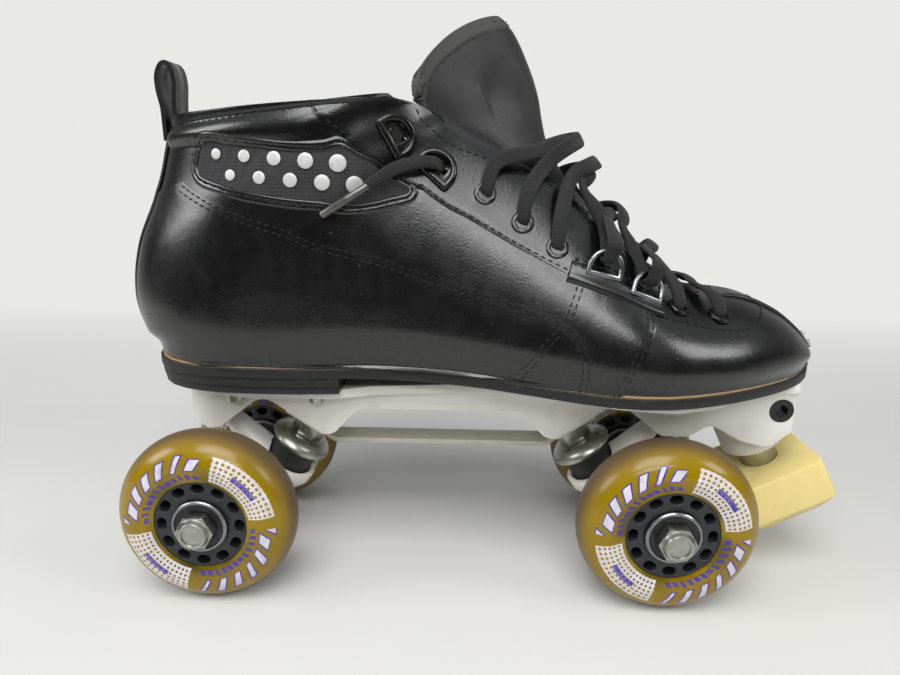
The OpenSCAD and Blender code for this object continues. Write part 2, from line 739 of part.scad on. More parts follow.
// Nuts with a round locking collar
module axle_nuts(x) {
  color("silver")
    for (s = [-1, 1]) {
      translate([x, s * nut_end, axle_z])
        rotate([s * 90, 0, 0])
          difference() {
            union() {
              translate([0, 0, nut_collar])
                cylinder(d = axle_nut_af / cos(30), h = axle_nut_h - nut_collar, $fn = 6);
              cylinder(d1 = axle_nut_af - 2.4, d2 = axle_nut_af - 0.6, h = nut_collar);
            }
            translate([0, 0, -1])
              cylinder(r = axle_r, h = axle_nut_h + 2);
          }
    }
}
module both_bearings(x, sides) {
  for (s = sides, b = [-1, 1]) {
    at_wheel(x, s)
      translate([0, 0, b * bearing_mid])
        mirror([0, 0, b > 0 ? 0 : 1])
          children();
  }
}
module groove() {
  translate([race_pitch, 0])
    circle(r = ball_d / 2 + ball_fit);
}
module inner_races(x) {
  color("silver")
    both_bearings(x, [-1, 1])
      rotate_extrude()
        difference() {
          translate([axle_r, -bearing_w / 2])
            square([race_pitch - race_wall + 0.5 - axle_r, bearing_w]);
          groove();
        }
}
module outer_races(x, side) {
  r = bearing_d / 2;
  color("silver")
    both_bearings(x, [side])
      rotate_extrude()
        difference() {
          union() {
            translate([race_pitch + race_wall - 0.5, -bearing_w / 2])
              square([r - race_pitch - race_wall + 0.5, bearing_w]);
            translate([race_pitch - race_wall + 1, bearing_w / 2 - 0.9])
              square([2 * race_wall - 1, 0.5]);
          }
          groove();
        }
}
module bearing_balls(x) {
  color("gray")
    both_bearings(x, [-1, 1])
      for (i = [0 : 6]) {
        rotate([0, 0, i * 360 / 7])
          translate([race_pitch, 0, 0])
            sphere(d = ball_d);
      }
}
module bearing_spacers(x) {
  l = 2 * bearing_mid - bearing_w;
  color("silver")
    for (s = [-1, 1]) {
      at_wheel(x, s)
        difference() {
          cylinder(r = axle_r + 1.6, h = l, center = true);
          cylinder(r = axle_r, h = l + 2, center = true);
        }
    }
}

// Wheels

module tyre(x, side) {
  r = wheel_d / 2;
  h = wheel_w / 2;
  color("goldenrod")
    at_wheel(x, side)
      rotate_extrude()
        difference() {
          union() {
            translate([r - h, 0])
              circle(r = h);
            polygon([[core_d / 2 - 1, -h + 1.6], [r - h, -h], [r - h, h], [core_d / 2 - 1, h - 1.6]]);
          }
          translate([0, -h - 1])
            square([core_d / 2, wheel_w + 2]);
        }
}
module core(x, side) {
  r = bearing_d / 2;
  h = wheel_w / 2 - 1.8;
  mid = bearing_mid - bearing_w / 2;
  pitch = (r + 1.4 + core_d / 2) / 2;
  side_r = core_hole_w / 2;
  color("#2b2e36")
    at_wheel(x, side)
      difference() {
        rotate_extrude()
          polygon([[r - 1.6, -mid], [r, -mid], [r, -h], [core_d / 2, -h], [core_d / 2, h], [r, h],
            [r, mid], [r - 1.6, mid]]);
        for (i = [0 : core_holes - 1]) {
          rotate([0, 0, i * 360 / core_holes])
            translate([pitch, 0, -h - 1])
              linear_extrude(2 * h + 2) {
                square([core_hole_w, core_hole_l - core_hole_w], center = true);
                translate([0, core_hole_l / 2 - side_r])
                  circle(r = side_r);
                translate([0, side_r - core_hole_l / 2])
                  circle(r = side_r);
              }
        }
      }
}

// Toe stop

module toe_stop_stem() {
  color("silver")
    on_toe()
      translate([0, 0, 0.05 - block_h * 0.6])
        cylinder(r = stem_r - loose / 2, h = stem_up + block_h * 0.6 - 0.05);
}
module rounded_plate(l, w, r, h) {
  linear_extrude(h)
    polygon(rounded([[-l / 2, -w / 2, r], [l / 2, -w / 2, r], [l / 2, w / 2, r], [-l / 2, w / 2, r]]));
}
module toe_stop_block() {
  color("khaki")
    on_toe()
      difference() {
        hull() {
          translate([0, 0, -1])
            rounded_plate(block_l, block_w, 4, 1);
          translate([0, 0, -block_h + 4])
            rounded_plate(block_l + 1, block_w + 1, 4, 1);
          translate([-1.5, 0, -block_h])
            rounded_plate(block_l - 8, block_w - 5, 4, 1);
        }
        translate([0, 0, -block_h * 0.6])
          cylinder(r = stem_r - loose / 2 + 0.05, h = block_h);
      }
}

// Sole

module sole_slab(low, high, inset) {
  intersection() {
    translate([0, 0, heel_z - 20])
      linear_extrude(80)
        polygon(closed_spline([for (p = sole_line) [p.x * bl - sign(p.x) * inset * abs(p.x) / 140,
          p.y * bw - sign(p.y) * inset]], 2));
    across(80)
      polygon([[-200, feather(-200) + low], [waist_back, feather(waist_back) + low],
        [waist_front, feather(waist_front) + low], [200, feather(200) + low],
        [200, feather(200) + high], [waist_front, feather(waist_front) + high],
        [waist_back, feather(waist_back) + high], [-200, feather(-200) + high]]);
  }
}
module screw_shanks() {
  screw_places()
    translate([0, 0, -20])
      cylinder(d = screw_d, h = 20 + stack_t - 1);
}
module midsole() {
  color("tan")
    sole_slab(-midsole_t, 0, 0.6);
}
module outsole() {
  color("#1c1c1c")
    difference() {
      sole_slab(-stack_t, -midsole_t, 0);
      screw_shanks();
    }
}
module heel_lift(z, t, inset) {
  difference() {
    intersection() {
      translate([0, 0, z])
        linear_extrude(t)
          polygon(closed_spline([for (p = sole_line) [p.x * bl - sign(p.x) * inset * abs(p.x) / 140,
            p.y * bw - sign(p.y) * inset]], 2));
      translate([-300 + heel_front_x, -100, z - 1])
        cube([300, 200, t + 2]);
    }
    screw_shanks();
  }
}
module heel_lift_lower() {
  color("#161616")
    heel_lift(heel_z, lift_low_t, 1);
}
module heel_lift_upper() {
  color("#202020")
    heel_lift(heel_z + lift_low_t, lift_up_t, 0.5);
}

// Upper

module below_feather() {
  across(100)
    polygon([[-200, 0], [200, 0], [200, feather(200)], [waist_front, feather(waist_front)],
      [waist_back, feather(waist_back)], [-200, feather(-200)]]);
}
module throat_cut() {
  translate([0, 0, feather(0) + 16])
    linear_extrude(200)
      polygon(concat([for (p = throat) [p.x * bl, -p.y * bw]],
        [for (i = [len(throat) - 1 : -1 : 0]) [throat[i].x * bl, throat[i].y * bw]]));
}
// Stands pieces on the upper at the given rows of both sides, x to the throat and z off the surface
module on_skin(rows, h) {
  for (p = rows, s = [-1, 1]) {
    n = skin_normal(p[0], p[1], s);
    t = skin_up(p, s);
    a = cross(n, t);
    o = off_skin(p, s, h);
    multmatrix([[t.x, a.x, n.x, o.x], [t.y, a.y, n.y, o.y], [t.z, a.z, n.z, o.z], [0, 0, 0, 1]])
      children();
  }
}
module slot(w, l) {
  square([w, l - w], center = true);
  for (s = [-1, 1]) {
    translate([0, s * (l - w) / 2])
      circle(d = w);
  }
}
module upper() {
  color("#26262a")
    difference() {
      foot_solid(0, 0, 0);
      foot_solid(upper_t, 1, 8);
      throat_cut();
      below_feather();
      on_skin(eyelet_rows, 0)
        cylinder(r = eyelet_bore / 2 + eyelet_wall + loose, h = 16, center = true);
      on_skin(ring_rows, 0)
        linear_extrude(16, center = true)
          slot(slot_w + 2 * (eyelet_wall + loose), slot_l + 2 * (eyelet_wall + loose));
    }
}
module insole() {
  color("dimgray")
    intersection() {
      foot_solid(upper_t + 0.5, 1, 8);
      across(80)
        polygon([for (h = [upper_t, upper_t + insole_t],
          x = h > upper_t ? [200, waist_front, waist_back, -200] : [-200, waist_back, waist_front, 200])
          [x, feather(x) + h]]);
    }
}
function tongue_row(u) =
  let (r = along(tongue_line, u))
  [r[0] * bl, feather(-200) + r[1] * bh, r[2] * bw, r[3], r[4]];
function tongue_normal(u) =
  let (a = tongue_row(max(u - 0.2, 0)), b = tongue_row(min(u + 0.2, len(tongue_line) - 1)))
  unit([b[1] - a[1], a[0] - b[0]]);
function tongue_pt(u, s, d) =
  let (r = tongue_row(u), n = tongue_normal(u), back = pow(sin(90 * s), 2), fall = pow(1 - cos(90 * s), 1.3))
  [r[0] + r[3] * back - n.x * d, (r[2] - d * 0.8) * sin(90 * s), r[1] + r[4] * fall - n.y * d];
module tongue() {
  rows = [for (u = [0 : 0.5 : len(tongue_line) - 1])
    concat([for (j = [-tongue_n : tongue_n]) tongue_pt(u, -j / tongue_n, 0)],
      [for (j = [-tongue_n : tongue_n]) tongue_pt(u, j / tongue_n, tongue_t)])];
  color("#333338")
    stack(rows, 4 * tongue_n + 2, true);
}
module backstay() {
  color("#1d1d20")
    intersection() {
      on_upper(0.25, 1.1);
      across(backstay_w / 2)
        polygon([[-200, feather(-200) + 6], [-118, feather(-200) + 6], [-118, feather(-200) + 84 * bh],
          [-200, feather(-200) + 84 * bh]]);
    }
}
// Middle line of the pull loop's strap, from the back of the collar over and down inside
function loop_line() =
  let (q = ring(last_ring), x = q[2], z = q[3])
  [[x - 2.7, z - 9], [x - 2.6, z + 4], [x - 2.5, z + 12], [x - 0.9, z + 18.4], [x + 2, z + 20.6],
    [x + 5, z + 18], [x + 6.1, z + 11], [x + 5.8, z + 3], [x + 5.5, z - 6], [x + 5.4, z - 8]];
function band(p, t) =
  let (n = len(p), nrm = [for (i = [0 : n - 1])
    let (v = unit(p[min(i + 1, n - 1)] - p[max(i - 1, 0)])) [-v.y, v.x]])
  concat([for (i = [0 : n - 1]) p[i] + nrm[i] * t / 2], [for (i = [n - 1 : -1 : 0]) p[i] - nrm[i] * t / 2]);
module pull_loop() {
  p = loop_line();
  color("#1a1a1c")
    across(loop_w / 2)
      polygon(band([for (u = [0 : 0.34 : len(p) - 1.1]) along(p, u)], loop_t));
}
// Side view of the panel on each side of the ankle: x, height, corner radius
panel_side = [[-111, 73.6, 3], [-99, 69.2, 10], [-84, 66.4, 30], [-64, 64.8, 40], [-50, 64, 20],
  [-38, 66, 12], [-28, 69, 1.5], [-42, 78, 8], [-53, 84.6, 6], [-64, 82.6, 12], [-84, 83, 40], [-109, 85, 3]];
module side_panels() {
  color("#2c2c30")
    intersection() {
      on_upper(0.25, 0.8);
      across(60)
        polygon(rounded([for (p = panel_side) [p.x * bl, feather(-200) + p.y * bh, p[2]]]));
    }
}
// Reflective dots in two staggered rows that grow towards the toe: x, height, radius
dots = [for (i = [0 : 4], row = [0, 1])
  [-102 + 11.6 * i + 5.8 * row, 81 - 7.6 * row - 0.7 * i, 2 + 0.28 * i]];
module reflectors() {
  color("silver")
    intersection() {
      on_upper(1.2, 0.5);
      across(60)
        for (p = dots) {
          translate([p.x * bl, feather(-200) + p.y * bh])
            circle(r = p[2], $fn = 20);
        }
    }
}

// Eyelets and lace

module eyelets() {
  b = eyelet_bore / 2;
  color("#151515")
    on_skin(eyelet_rows, 0.5)
      rotate_extrude()
        polygon([[b, -upper_t], [b + eyelet_wall, -upper_t], [b + eyelet_wall, 0], [eyelet_d / 2, 0],
          [eyelet_d / 2 - 0.6, 1], [b, 1]]);
}
// Bar, legs and round end of a D-shaped wire, lying flat with its bar at x = 0
module d_wire(r, turn, leg) {
  translate([leg, 0, 0])
    rotate([0, 0, -90])
      rotate_extrude(angle = 180)
        translate([turn, 0])
          circle(r = r, $fn = 16);
  for (s = [-1, 1]) {
    translate([0, s * turn, 0]) {
      rotate([0, 90, 0])
        cylinder(r = r, h = leg, $fn = 16);
      sphere(r = r, $fn = 16);
    }
  }
  rotate([90, 0, 0])
    cylinder(r = r, h = 2 * turn, center = true, $fn = 16);
}
module ring_eyelets() {
  r = ring_wire / 2;
  flange = 0.9;
  color("#151515")
    on_skin(ring_rows, 0.5)
      difference() {
        union() {
          translate([ring_bar_x, 0, r])
            d_wire(r, ring_turn, ring_leg);
          linear_extrude(flange) {
            translate([ring_bar_x, -ring_turn])
              square([ring_leg, 2 * ring_turn]);
            intersection() {
              translate([ring_bar_x + ring_leg, 0])
                circle(r = ring_turn);
              translate([ring_bar_x + ring_leg - 0.1, -ring_turn])
                square(2 * ring_turn);
            }
          }
          translate([0, 0, -upper_t])
            linear_extrude(upper_t + flange)
              slot(slot_w + 2 * eyelet_wall, slot_l + 2 * eyelet_wall);
        }
        translate([0, 0, -upper_t - 1])
          linear_extrude(upper_t + 8)
            slot(slot_w, slot_l);
      }
}
// Point by a wire loop, out along its legs and up off its plane
function wire_pt(p, side, out, up) =
  off_skin(p, side, wire_up + out * sin(wire_rise) + up * cos(wire_rise))
    + skin_up(p, side) * (out * cos(wire_rise) - up * sin(wire_rise));
module wire_loops() {
  color("lightgray")
    on_skin(wire_rows, wire_up)
      rotate([0, -wire_rise, 0])
        d_wire(wire_r, wire_turn, wire_leg);
}
module loop_straps() {
  color("#1c1c1e")
    on_skin(wire_rows, wire_up)
      difference() {
        translate([-8.6, -wire_turn - 2.2, 0.4 - wire_r])
          cube([8.6, 2 * wire_turn + 4.4, 2 * wire_r]);
        rotate([90, 0, 0])
          cylinder(r = wire_r + 0.05, h = 4 * wire_turn, center = true);
      }
}
// Lace down through an eyelet, and up through one
function down(p, side) = [
  off_skin(p + [0.2, 1.3], side, lace_r + 1.4), off_skin(p + [0.1, 0.7], side, lace_r + 1.6),
  off_skin(p, side, lace_out), off_skin(p, side, -lace_in)];
function up(p, side) = [for (i = [3 : -1 : 0]) down(p, side)[i]];
// Lace round the end of a wire loop
function turn(p, side) =
  let (o = wire_r + lace_r + 0.4, b = wire_end - o - 0.1)
  [wire_pt(p, side, wire_end + 4, o + 0.4), wire_pt(p, side, wire_end, o + 0.1),
    wire_pt(p, side, b, o * 0.55), wire_pt(p, side, b, -o * 0.55), wire_pt(p, side, wire_end, -o),
    off_skin(p + [0.1, 2.1], side, lace_r + 1.4)];
// Lace across the tongue from one side to the other, lifted by h in the middle
function over(v, side, h) = [for (t = [-0.85, -0.5, 0, 0.5, 0.85])
  tongue_pt(v + t * cross_rise, -t * side, -lace_off - abs(t) - (1 - abs(t)) * h)];
// Where the lace comes up, slanting towards the heel, into the slot of the lower ring eyelet
function ring_in(side) = off_skin(ring_rows[0] + [-0.17, 0.06], side, -lace_in);
// Half of the lace, from the middle of the lowest row up to the ring eyelet on the same side
function half_lace(s, h) = concat(
  [tongue_pt(cross_at[0], 0, -lace_off), tongue_pt(cross_at[0], s, -lace_off)],
  down(eyelet_rows[0], s), up(eyelet_rows[1], s), over(cross_at[1], s, h),
  turn(wire_rows[0], -s), over(cross_at[2], -s, h),
  turn(wire_rows[1], s), over(cross_at[3], s, h),
  down(eyelet_rows[2], -s), up(eyelet_rows[3], -s), over(cross_at[4], -s, h),
  down(eyelet_rows[4], s), [ring_in(s), off_skin(ring_rows[0], s, 0)]);
module lace() {
  right = half_lace(-1, 0);
  left = half_lace(1, lace_d + 0.5);
  color("#111113")
    tube(eased(concat([for (i = [len(right) - 1 : -1 : 1]) right[i]], left), 2.5), lace_r, lace_sides);
}
// Free end of the lace, straight out of the slot at first and in line with its aglet at last
function end_pts(side) =
  let (n = len(end_line) - 1, a = off_skin(ring_rows[0], side, 0),
    b = off_skin(end_line[n], side, end_line[n][2]), t = off_skin(aglet_tip, side, aglet_tip[2]))
  concat([a, a + unit(a - ring_in(side)) * 4],
    [for (i = [0 : n - 1]) off_skin(end_line[i], side, end_line[i][2])], [b - unit(t - b) * 2.5, b]);
module lace_end(side) {
  color("#111113")
    tube(end_pts(side), lace_r, lace_sides);
}
module lace_end_right() {
  lace_end(-1);
}
module lace_end_left() {
  lace_end(1);
}
module aglets() {
  color("lightgray")
    for (s = [-1, 1]) {
      p = end_pts(s);
      tube([p[len(p) - 1], off_skin(aglet_tip, s, aglet_tip[2])], lace_r, lace_sides);
    }
}

// Trucks and wheels by place

module rear_hanger() {
  hanger(rear_x);
}
module rear_axle() {
  axle(rear_x);
}
module rear_axle_nuts() {
  axle_nuts(rear_x);
}
module rear_inner_races() {
  inner_races(rear_x);
}
module rear_bearing_balls() {
  bearing_balls(rear_x);
}
module rear_bearing_spacers() {
  bearing_spacers(rear_x);
}
module front_hanger() {
  hanger(front_x);
}
module front_axle() {
  axle(front_x);
}
module front_axle_nuts() {
  axle_nuts(front_x);
}
module front_inner_races() {
  inner_races(front_x);
}
module front_bearing_balls() {
  bearing_balls(front_x);
}
module front_bearing_spacers() {
  bearing_spacers(front_x);
}
module rear_right_tyre() {
  tyre(rear_x, -1);
}
module rear_right_core() {
  core(rear_x, -1);
}
module rear_right_outer_races() {
  outer_races(rear_x, -1);
}
module rear_left_tyre() {
  tyre(rear_x, 1);
}
module rear_left_core() {
  core(rear_x, 1);
}
module rear_left_outer_races() {
  outer_races(rear_x, 1);
}
module front_right_tyre() {
  tyre(front_x, -1);
}
module front_right_core() {
  core(front_x, -1);
}
module front_right_outer_races() {
  outer_races(front_x, -1);
}
module front_left_tyre() {
  tyre(front_x, 1);
}
module front_left_core() {
  core(front_x, 1);
}
module front_left_outer_races() {
  outer_races(front_x, 1);
}

plate();
tie_bar();
mounting_screws();
clamp_screw();
kingpins();
jam_nuts();
kingpin_nuts();
cushion_washers();
lower_washers();
pivot_cups();
rear_top_cushion();
front_top_cushion();
rear_low_cushion();
front_low_cushion();
heel_lift_lower();
heel_lift_upper();
outsole();
midsole();
upper();
insole();
tongue();
backstay();
pull_loop();
side_panels();
reflectors();
eyelets();
ring_eyelets();
wire_loops();
loop_straps();
lace();
lace_end_right();
lace_end_left();
aglets();
rear_hanger();
rear_axle();
rear_axle_nuts();
rear_inner_races();
rear_bearing_balls();
rear_bearing_spacers();
front_hanger();
front_axle();
front_axle_nuts();
front_inner_races();
front_bearing_balls();
front_bearing_spacers();
rear_right_tyre();
rear_right_core();
rear_right_outer_races();
rear_left_tyre();
rear_left_core();
rear_left_outer_races();
front_right_tyre();
front_right_core();
front_right_outer_races();
front_left_tyre();
front_left_core();
front_left_outer_races();
toe_stop_stem();
toe_stop_block();
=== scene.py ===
import math
import random
from functools import lru_cache, partial

import bmesh
import bpy
from mathutils import Matrix, Vector
from mathutils.kdtree import KDTree


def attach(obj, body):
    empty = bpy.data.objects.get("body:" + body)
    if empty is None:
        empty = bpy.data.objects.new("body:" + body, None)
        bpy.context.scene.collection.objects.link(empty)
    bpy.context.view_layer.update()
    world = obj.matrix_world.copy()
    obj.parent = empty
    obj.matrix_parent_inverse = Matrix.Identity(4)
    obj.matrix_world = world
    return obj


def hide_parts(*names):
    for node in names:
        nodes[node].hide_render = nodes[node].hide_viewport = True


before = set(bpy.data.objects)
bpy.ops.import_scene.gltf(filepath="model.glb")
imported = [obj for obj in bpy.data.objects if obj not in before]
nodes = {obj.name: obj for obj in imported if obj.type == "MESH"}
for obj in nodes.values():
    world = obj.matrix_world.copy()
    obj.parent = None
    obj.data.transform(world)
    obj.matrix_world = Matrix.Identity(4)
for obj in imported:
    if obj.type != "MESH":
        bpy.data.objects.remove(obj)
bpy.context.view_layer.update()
mm = 0.001
random.seed(11)

# camera at the photograph's viewing angle, in mm and radians
cameraSet = {"place": (-8.285, -277.514, 173.766), "yaw": -0.023, "pitch": 0.258, "roll": 0.012,
             "lens": 25.94, "sensor": 36}


def placeCamera():
    yaw, pitch, roll = cameraSet["yaw"], cameraSet["pitch"], cameraSet["roll"]
    ahead = Vector((math.sin(yaw) * math.cos(pitch), math.cos(yaw) * math.cos(pitch), -math.sin(pitch)))
    right = Vector((math.cos(yaw), -math.sin(yaw), 0))
    up = right.cross(ahead)
    right, up = right * math.cos(roll) + up * math.sin(roll), up * math.cos(roll) - right * math.sin(roll)
    data = bpy.data.cameras.new("photoCamera")
    data.lens, data.sensor_width, data.sensor_fit = cameraSet["lens"], cameraSet["sensor"], "HORIZONTAL"
    data.clip_start, data.clip_end = 0.01, 20
    cam = bpy.data.objects.new("photoCamera", data)
    bpy.context.scene.collection.objects.link(cam)
    cam.matrix_world = Matrix.Translation(Vector(cameraSet["place"]) * mm) @ Matrix(
        (right, up, -ahead)).transposed().to_4x4()
    bpy.context.scene.camera = cam


placeCamera()
print("camera placed")


# materials
def tint(code):
    parts = [int(code[i:i + 2], 16) / 255 for i in (1, 3, 5)]
    return tuple(c / 12.92 if c <= 0.04045 else ((c + 0.055) / 1.055) ** 2.4 for c in parts) + (1,)


def addNode(mat, kind, inputs=None, pick=0, **settings):
    node = mat.node_tree.nodes.new(f"ShaderNode{kind}")
    for key, value in settings.items():
        setattr(node, key, value)
    for key, value in (inputs or {}).items():
        if isinstance(value, bpy.types.NodeSocket):
            mat.node_tree.links.new(value, node.inputs[key])
        else:
            node.inputs[key].default_value = value
    return node.outputs[pick]


def startMaterial(name, **sockets):
    mat = bpy.data.materials.new(name)
    mat.use_nodes = True
    shader = mat.node_tree.nodes["Principled BSDF"]
    for key, value in sockets.items():
        shader.inputs[key.replace("_", " ")].default_value = value
    return mat, shader


def feed(mat, shader, **links):
    for key, socket in links.items():
        mat.node_tree.links.new(socket, shader.inputs[key.replace("_", " ")])


def patches(mat, where, size, detail, fine=0.5, *span):
    # cover in patches of about this many mm, stretched over a span of values
    cover = addNode(mat, "TexNoise", {"Vector": where, "Scale": 1 / (size * mm), "Detail": detail, "Roughness": fine})
    return addNode(mat, "MapRange", dict(enumerate((cover,) + span))) if span else cover


def painted(mat, base, layers):
    # colours laid one over another, each where its cover says
    colour = tint(base)
    for cover, code in layers:
        colour = addNode(mat, "Mix", {0: cover, 6: colour, 7: tint(code)}, 2, data_type="RGBA")
    return colour


def layered(name, base, layers, shine=None, grain=None, **sockets):
    # patches of colour on a plain base: the first turns the shine, and a fine grain lifts the surface
    mat, shader = startMaterial(name, **sockets)
    where = addNode(mat, "TexCoord", pick="Object")
    covers = [(patches(mat, where, *form), code) for code, *form in layers]
    feed(mat, shader, Base_Color=painted(mat, base, covers))
    if shine:
        feed(mat, shader, Roughness=addNode(mat, "MapRange", dict(enumerate((covers[0][0],) + shine))))
    if grain:
        strength, depth, *form = grain
        height = patches(mat, where, *form)
        feed(mat, shader, Normal=addNode(mat, "Bump", {"Height": height, "Strength": strength, "Distance": depth * mm}))
    return mat


def mouldedRubber(name, base, pale, rough):
    # vulcanised rubber, buffed on the edge: matt, with pale specks of grit
    return layered(name, base, [(pale, 14, 4), ("#77726a", 0.8, 3, 0.7, 0.62, 0.72, 0.0, 0.5)],
                   (0.3, 0.7, rough - 0.1, rough + 0.1), (0.25, 0.2, 0.7, 4), IOR=1.52)


def platedSteel(name, clean, dull, rough, metal=1.0):
    # steel with a zinc or nickel finish: metal, clouded and finely scratched
    return layered(name, clean, [(dull, 5, 5, 0.6)], (0.3, 0.7, rough - 0.08, rough + 0.14), (0.06, 0.1, 0.6, 3),
                   Metallic=metal)


def feltBoard(name, base, pale):
    # pressed fibre: short matt fibres, no shine
    return layered(name, base, [(pale, 1.1, 5, 0.75)], None, (0.4, 0.3, 1.1, 5, 0.75), IOR=1.45, Roughness=0.9)


def grainedLeather(name, dark, light, rough):
    # corrected-grain cowhide, pigment coated and waxed: fine pebble, soft sheen, dust in the grain
    mat, shader = startMaterial(name, IOR=1.5, Coat_Weight=0.45, Coat_Roughness=0.2)
    where = addNode(mat, "TexCoord", pick="Object")
    pebble = addNode(mat, "TexVoronoi", {"Vector": where, "Scale": 1 / (0.75 * mm), "Randomness": 1.0})
    crease = patches(mat, where, 9, 5, 0.6)
    specks, haze = patches(mat, where, 1.5, 4, 0.75, 0.66, 0.72), patches(mat, where, 38, 3, 0.5, 0.35, 0.75, 0.0, 0.7)
    dust = addNode(mat, "Math", {0: specks, 1: haze}, operation="MULTIPLY")
    folds = addNode(mat, "Bump", {"Height": crease, "Strength": 0.2, "Distance": 0.5 * mm})
    feed(mat, shader, Base_Color=painted(mat, dark, [(crease, light), (dust, "#8d8980")]),
         Roughness=addNode(mat, "MapRange", {0: crease, 1: 0.25, 2: 0.75, 3: rough - 0.07, 4: rough + 0.1}),
         Normal=addNode(mat, "Bump", {"Height": pebble, "Strength": 0.24, "Distance": 0.2 * mm, "Normal": folds}))
    return mat


def tyreUrethane():
    # clear amber polyurethane: lemon-amber side under gloss, darkened in patches towards the core by painted shade,
    # smoky olive towards a tread worn brown and dull; the side carries a generic print of dotted fans and rows of
    # leaning bars
    mat, shader = startMaterial("amberUrethane", IOR=1.5, Subsurface_Weight=0.25, Subsurface_Scale=0.005,
                                Subsurface_Radius=(1, 0.6, 0.1), Coat_Weight=0.1, Coat_Roughness=0.15,
                                Specular_IOR_Level=0.3)
    add = partial(addNode, mat)
    uv, where = add("UVMap", uv_map="UVMap"), add("TexCoord", pick="Object")
    turn, radius = add("SeparateXYZ", {0: uv}).node.outputs[:2]      # turns, and radius in mm / 100

    def product(*factors):
        total = factors[0]
        for factor in factors[1:]:
            total = add("Math", {0: total, 1: factor}, operation="MULTIPLY")
        return total

    def within(value, low, high):
        return product(add("Math", {0: value, 1: low}, operation="GREATER_THAN"),
                       add("Math", {0: value, 1: high}, operation="LESS_THAN"))

    def offCentre(value):
        # how far from the middle of its cell
        return add("Math", {0: add("Math", {0: value}, operation="FRACT"), 1: 0.5}, operation="SUBTRACT")

    def slats(cells, low, high, lean, rim):
        # leaning bars, each with a width and length of its own
        run = add("Math", {0: turn, 1: cells, 2: product(radius, lean)}, operation="MULTIPLY_ADD")
        chance = add("TexWhiteNoise", {"W": add("Math", {0: run}, operation="FLOOR")}, noise_dimensions="1D")
        wide = add("MapRange", {0: chance, 3: 0.2, 4: 0.47})
        top = add("MapRange", {0: chance, 1: 0.3, 2: 0.7, 3: high, 4: high - 0.28 * (high - low)})
        aside = add("Math", {0: offCentre(run)}, operation="ABSOLUTE")
        reach = add("Math", {0: wide, 1: rim}, operation="SUBTRACT")
        end = add("Math", {0: top, 1: rim * 0.04}, operation="SUBTRACT")
        across = add("Math", {0: aside, 1: reach}, operation="LESS_THAN")
        return product(across, within(radius, low + rim * 0.04, end))

    half = add("Math", {0: product(turn, 2.0)}, operation="FRACT")
    dotU, dotV = offCentre(product(turn, 78.0)), offCentre(product(radius, 54.0))
    dot = add("Math", {0: product(dotU, dotU), 1: product(dotV, dotV)}, operation="ADD")
    around = add("Math", {0: dot, 1: 0.085}, operation="GREATER_THAN")
    lattice = product(within(half, 0.05, 0.42), within(radius, 0.198, 0.302), around)
    bar = product(within(half, 0.16, 0.31), within(radius, 0.242, 0.264))
    arc = within(half, 0.475, 0.995)
    outline, inside = (product(arc, slats(24.0, 0.238, 0.304, 9.0, rim)) for rim in (0.0, 0.11))
    small = product(arc, slats(46.0, 0.2, 0.226, -14.0, 0.0))
    # painted shade: dark olive laid in patches towards the core, standing for the core's shadow seen through the clear
    # tyre
    paintedCoreShade = add("MapRange", {0: radius, 1: 0.185, 2: 0.27, 3: 1.0, 4: 0.0})
    layers = [(patches(mat, where, 9, 4), "#947900"),
              (product(paintedCoreShade, patches(mat, where, 16, 2, 0.5, 0.4, 0.62)), "#4a4214"),
              (add("MapRange", {0: radius, 1: 0.315, 2: 0.345}), "#7d6420"),
              (add("MapRange", {0: radius, 1: 0.342, 2: 0.358}), "#5e4d36")]
    left = patches(mat, where, 3, 4, 0.7, 0.3, 0.66, 1.0, 0.7)       # what wear leaves of the print
    violet, white = "#3a2c96", "#d9d6dc"
    for shape, ink in ((lattice, white), (bar, violet), (outline, violet), (inside, white), (small, violet)):
        layers.append((product(shape, left), ink))
    layers.append((patches(mat, where, 7, 5, 0.7, 0.58, 0.8, 0.0, 0.35), "#5c4a2a"))
    feed(mat, shader, Base_Color=painted(mat, "#846b00", layers),
         Roughness=add("MapRange", {0: radius, 1: 0.32, 2: 0.355, 3: 0.2, 4: 0.42}),
         Normal=add("Bump", {"Height": patches(mat, where, 1.3, 4), "Strength": 0.06, "Distance": 0.2 * mm}))
    return mat


def wovenTape(name, base, pale, pitch, rough):
    # woven polyester: diagonal twill ribs along the piece's own UV, in mm
    mat, shader = startMaterial(name, IOR=1.5, Sheen_Weight=0.12, Sheen_Roughness=0.5)
    uv, where = addNode(mat, "UVMap", uv_map="UVMap"), addNode(mat, "TexCoord", pick="Object")
    turned = addNode(mat, "Mapping", {"Vector": uv, "Rotation": (0, 0, math.radians(38)),
                                      "Scale": (1 / pitch, 1 / pitch, 1)})
    rib = addNode(mat, "TexWave", {"Vector": turned, "Scale": 1 / 3.1831, "Distortion": 0.6, "Detail": 1.0}, "Fac")
    lint = patches(mat, where, 1.1, 4, 0.8, 0.66, 0.75, 0.0, 0.35)
    drape = addNode(mat, "Bump", {"Height": patches(mat, where, 12, 3), "Strength": 0.2, "Distance": 0.8 * mm})
    feed(mat, shader, Base_Color=painted(mat, base, [(rib, pale), (lint, "#7b7a78")]),
         Roughness=addNode(mat, "MapRange", {0: rib, 3: rough + 0.1, 4: rough - 0.05}),
         Normal=addNode(mat, "Bump", {"Height": rib, "Strength": 0.35, "Distance": 0.25 * mm, "Normal": drape}))
    return mat


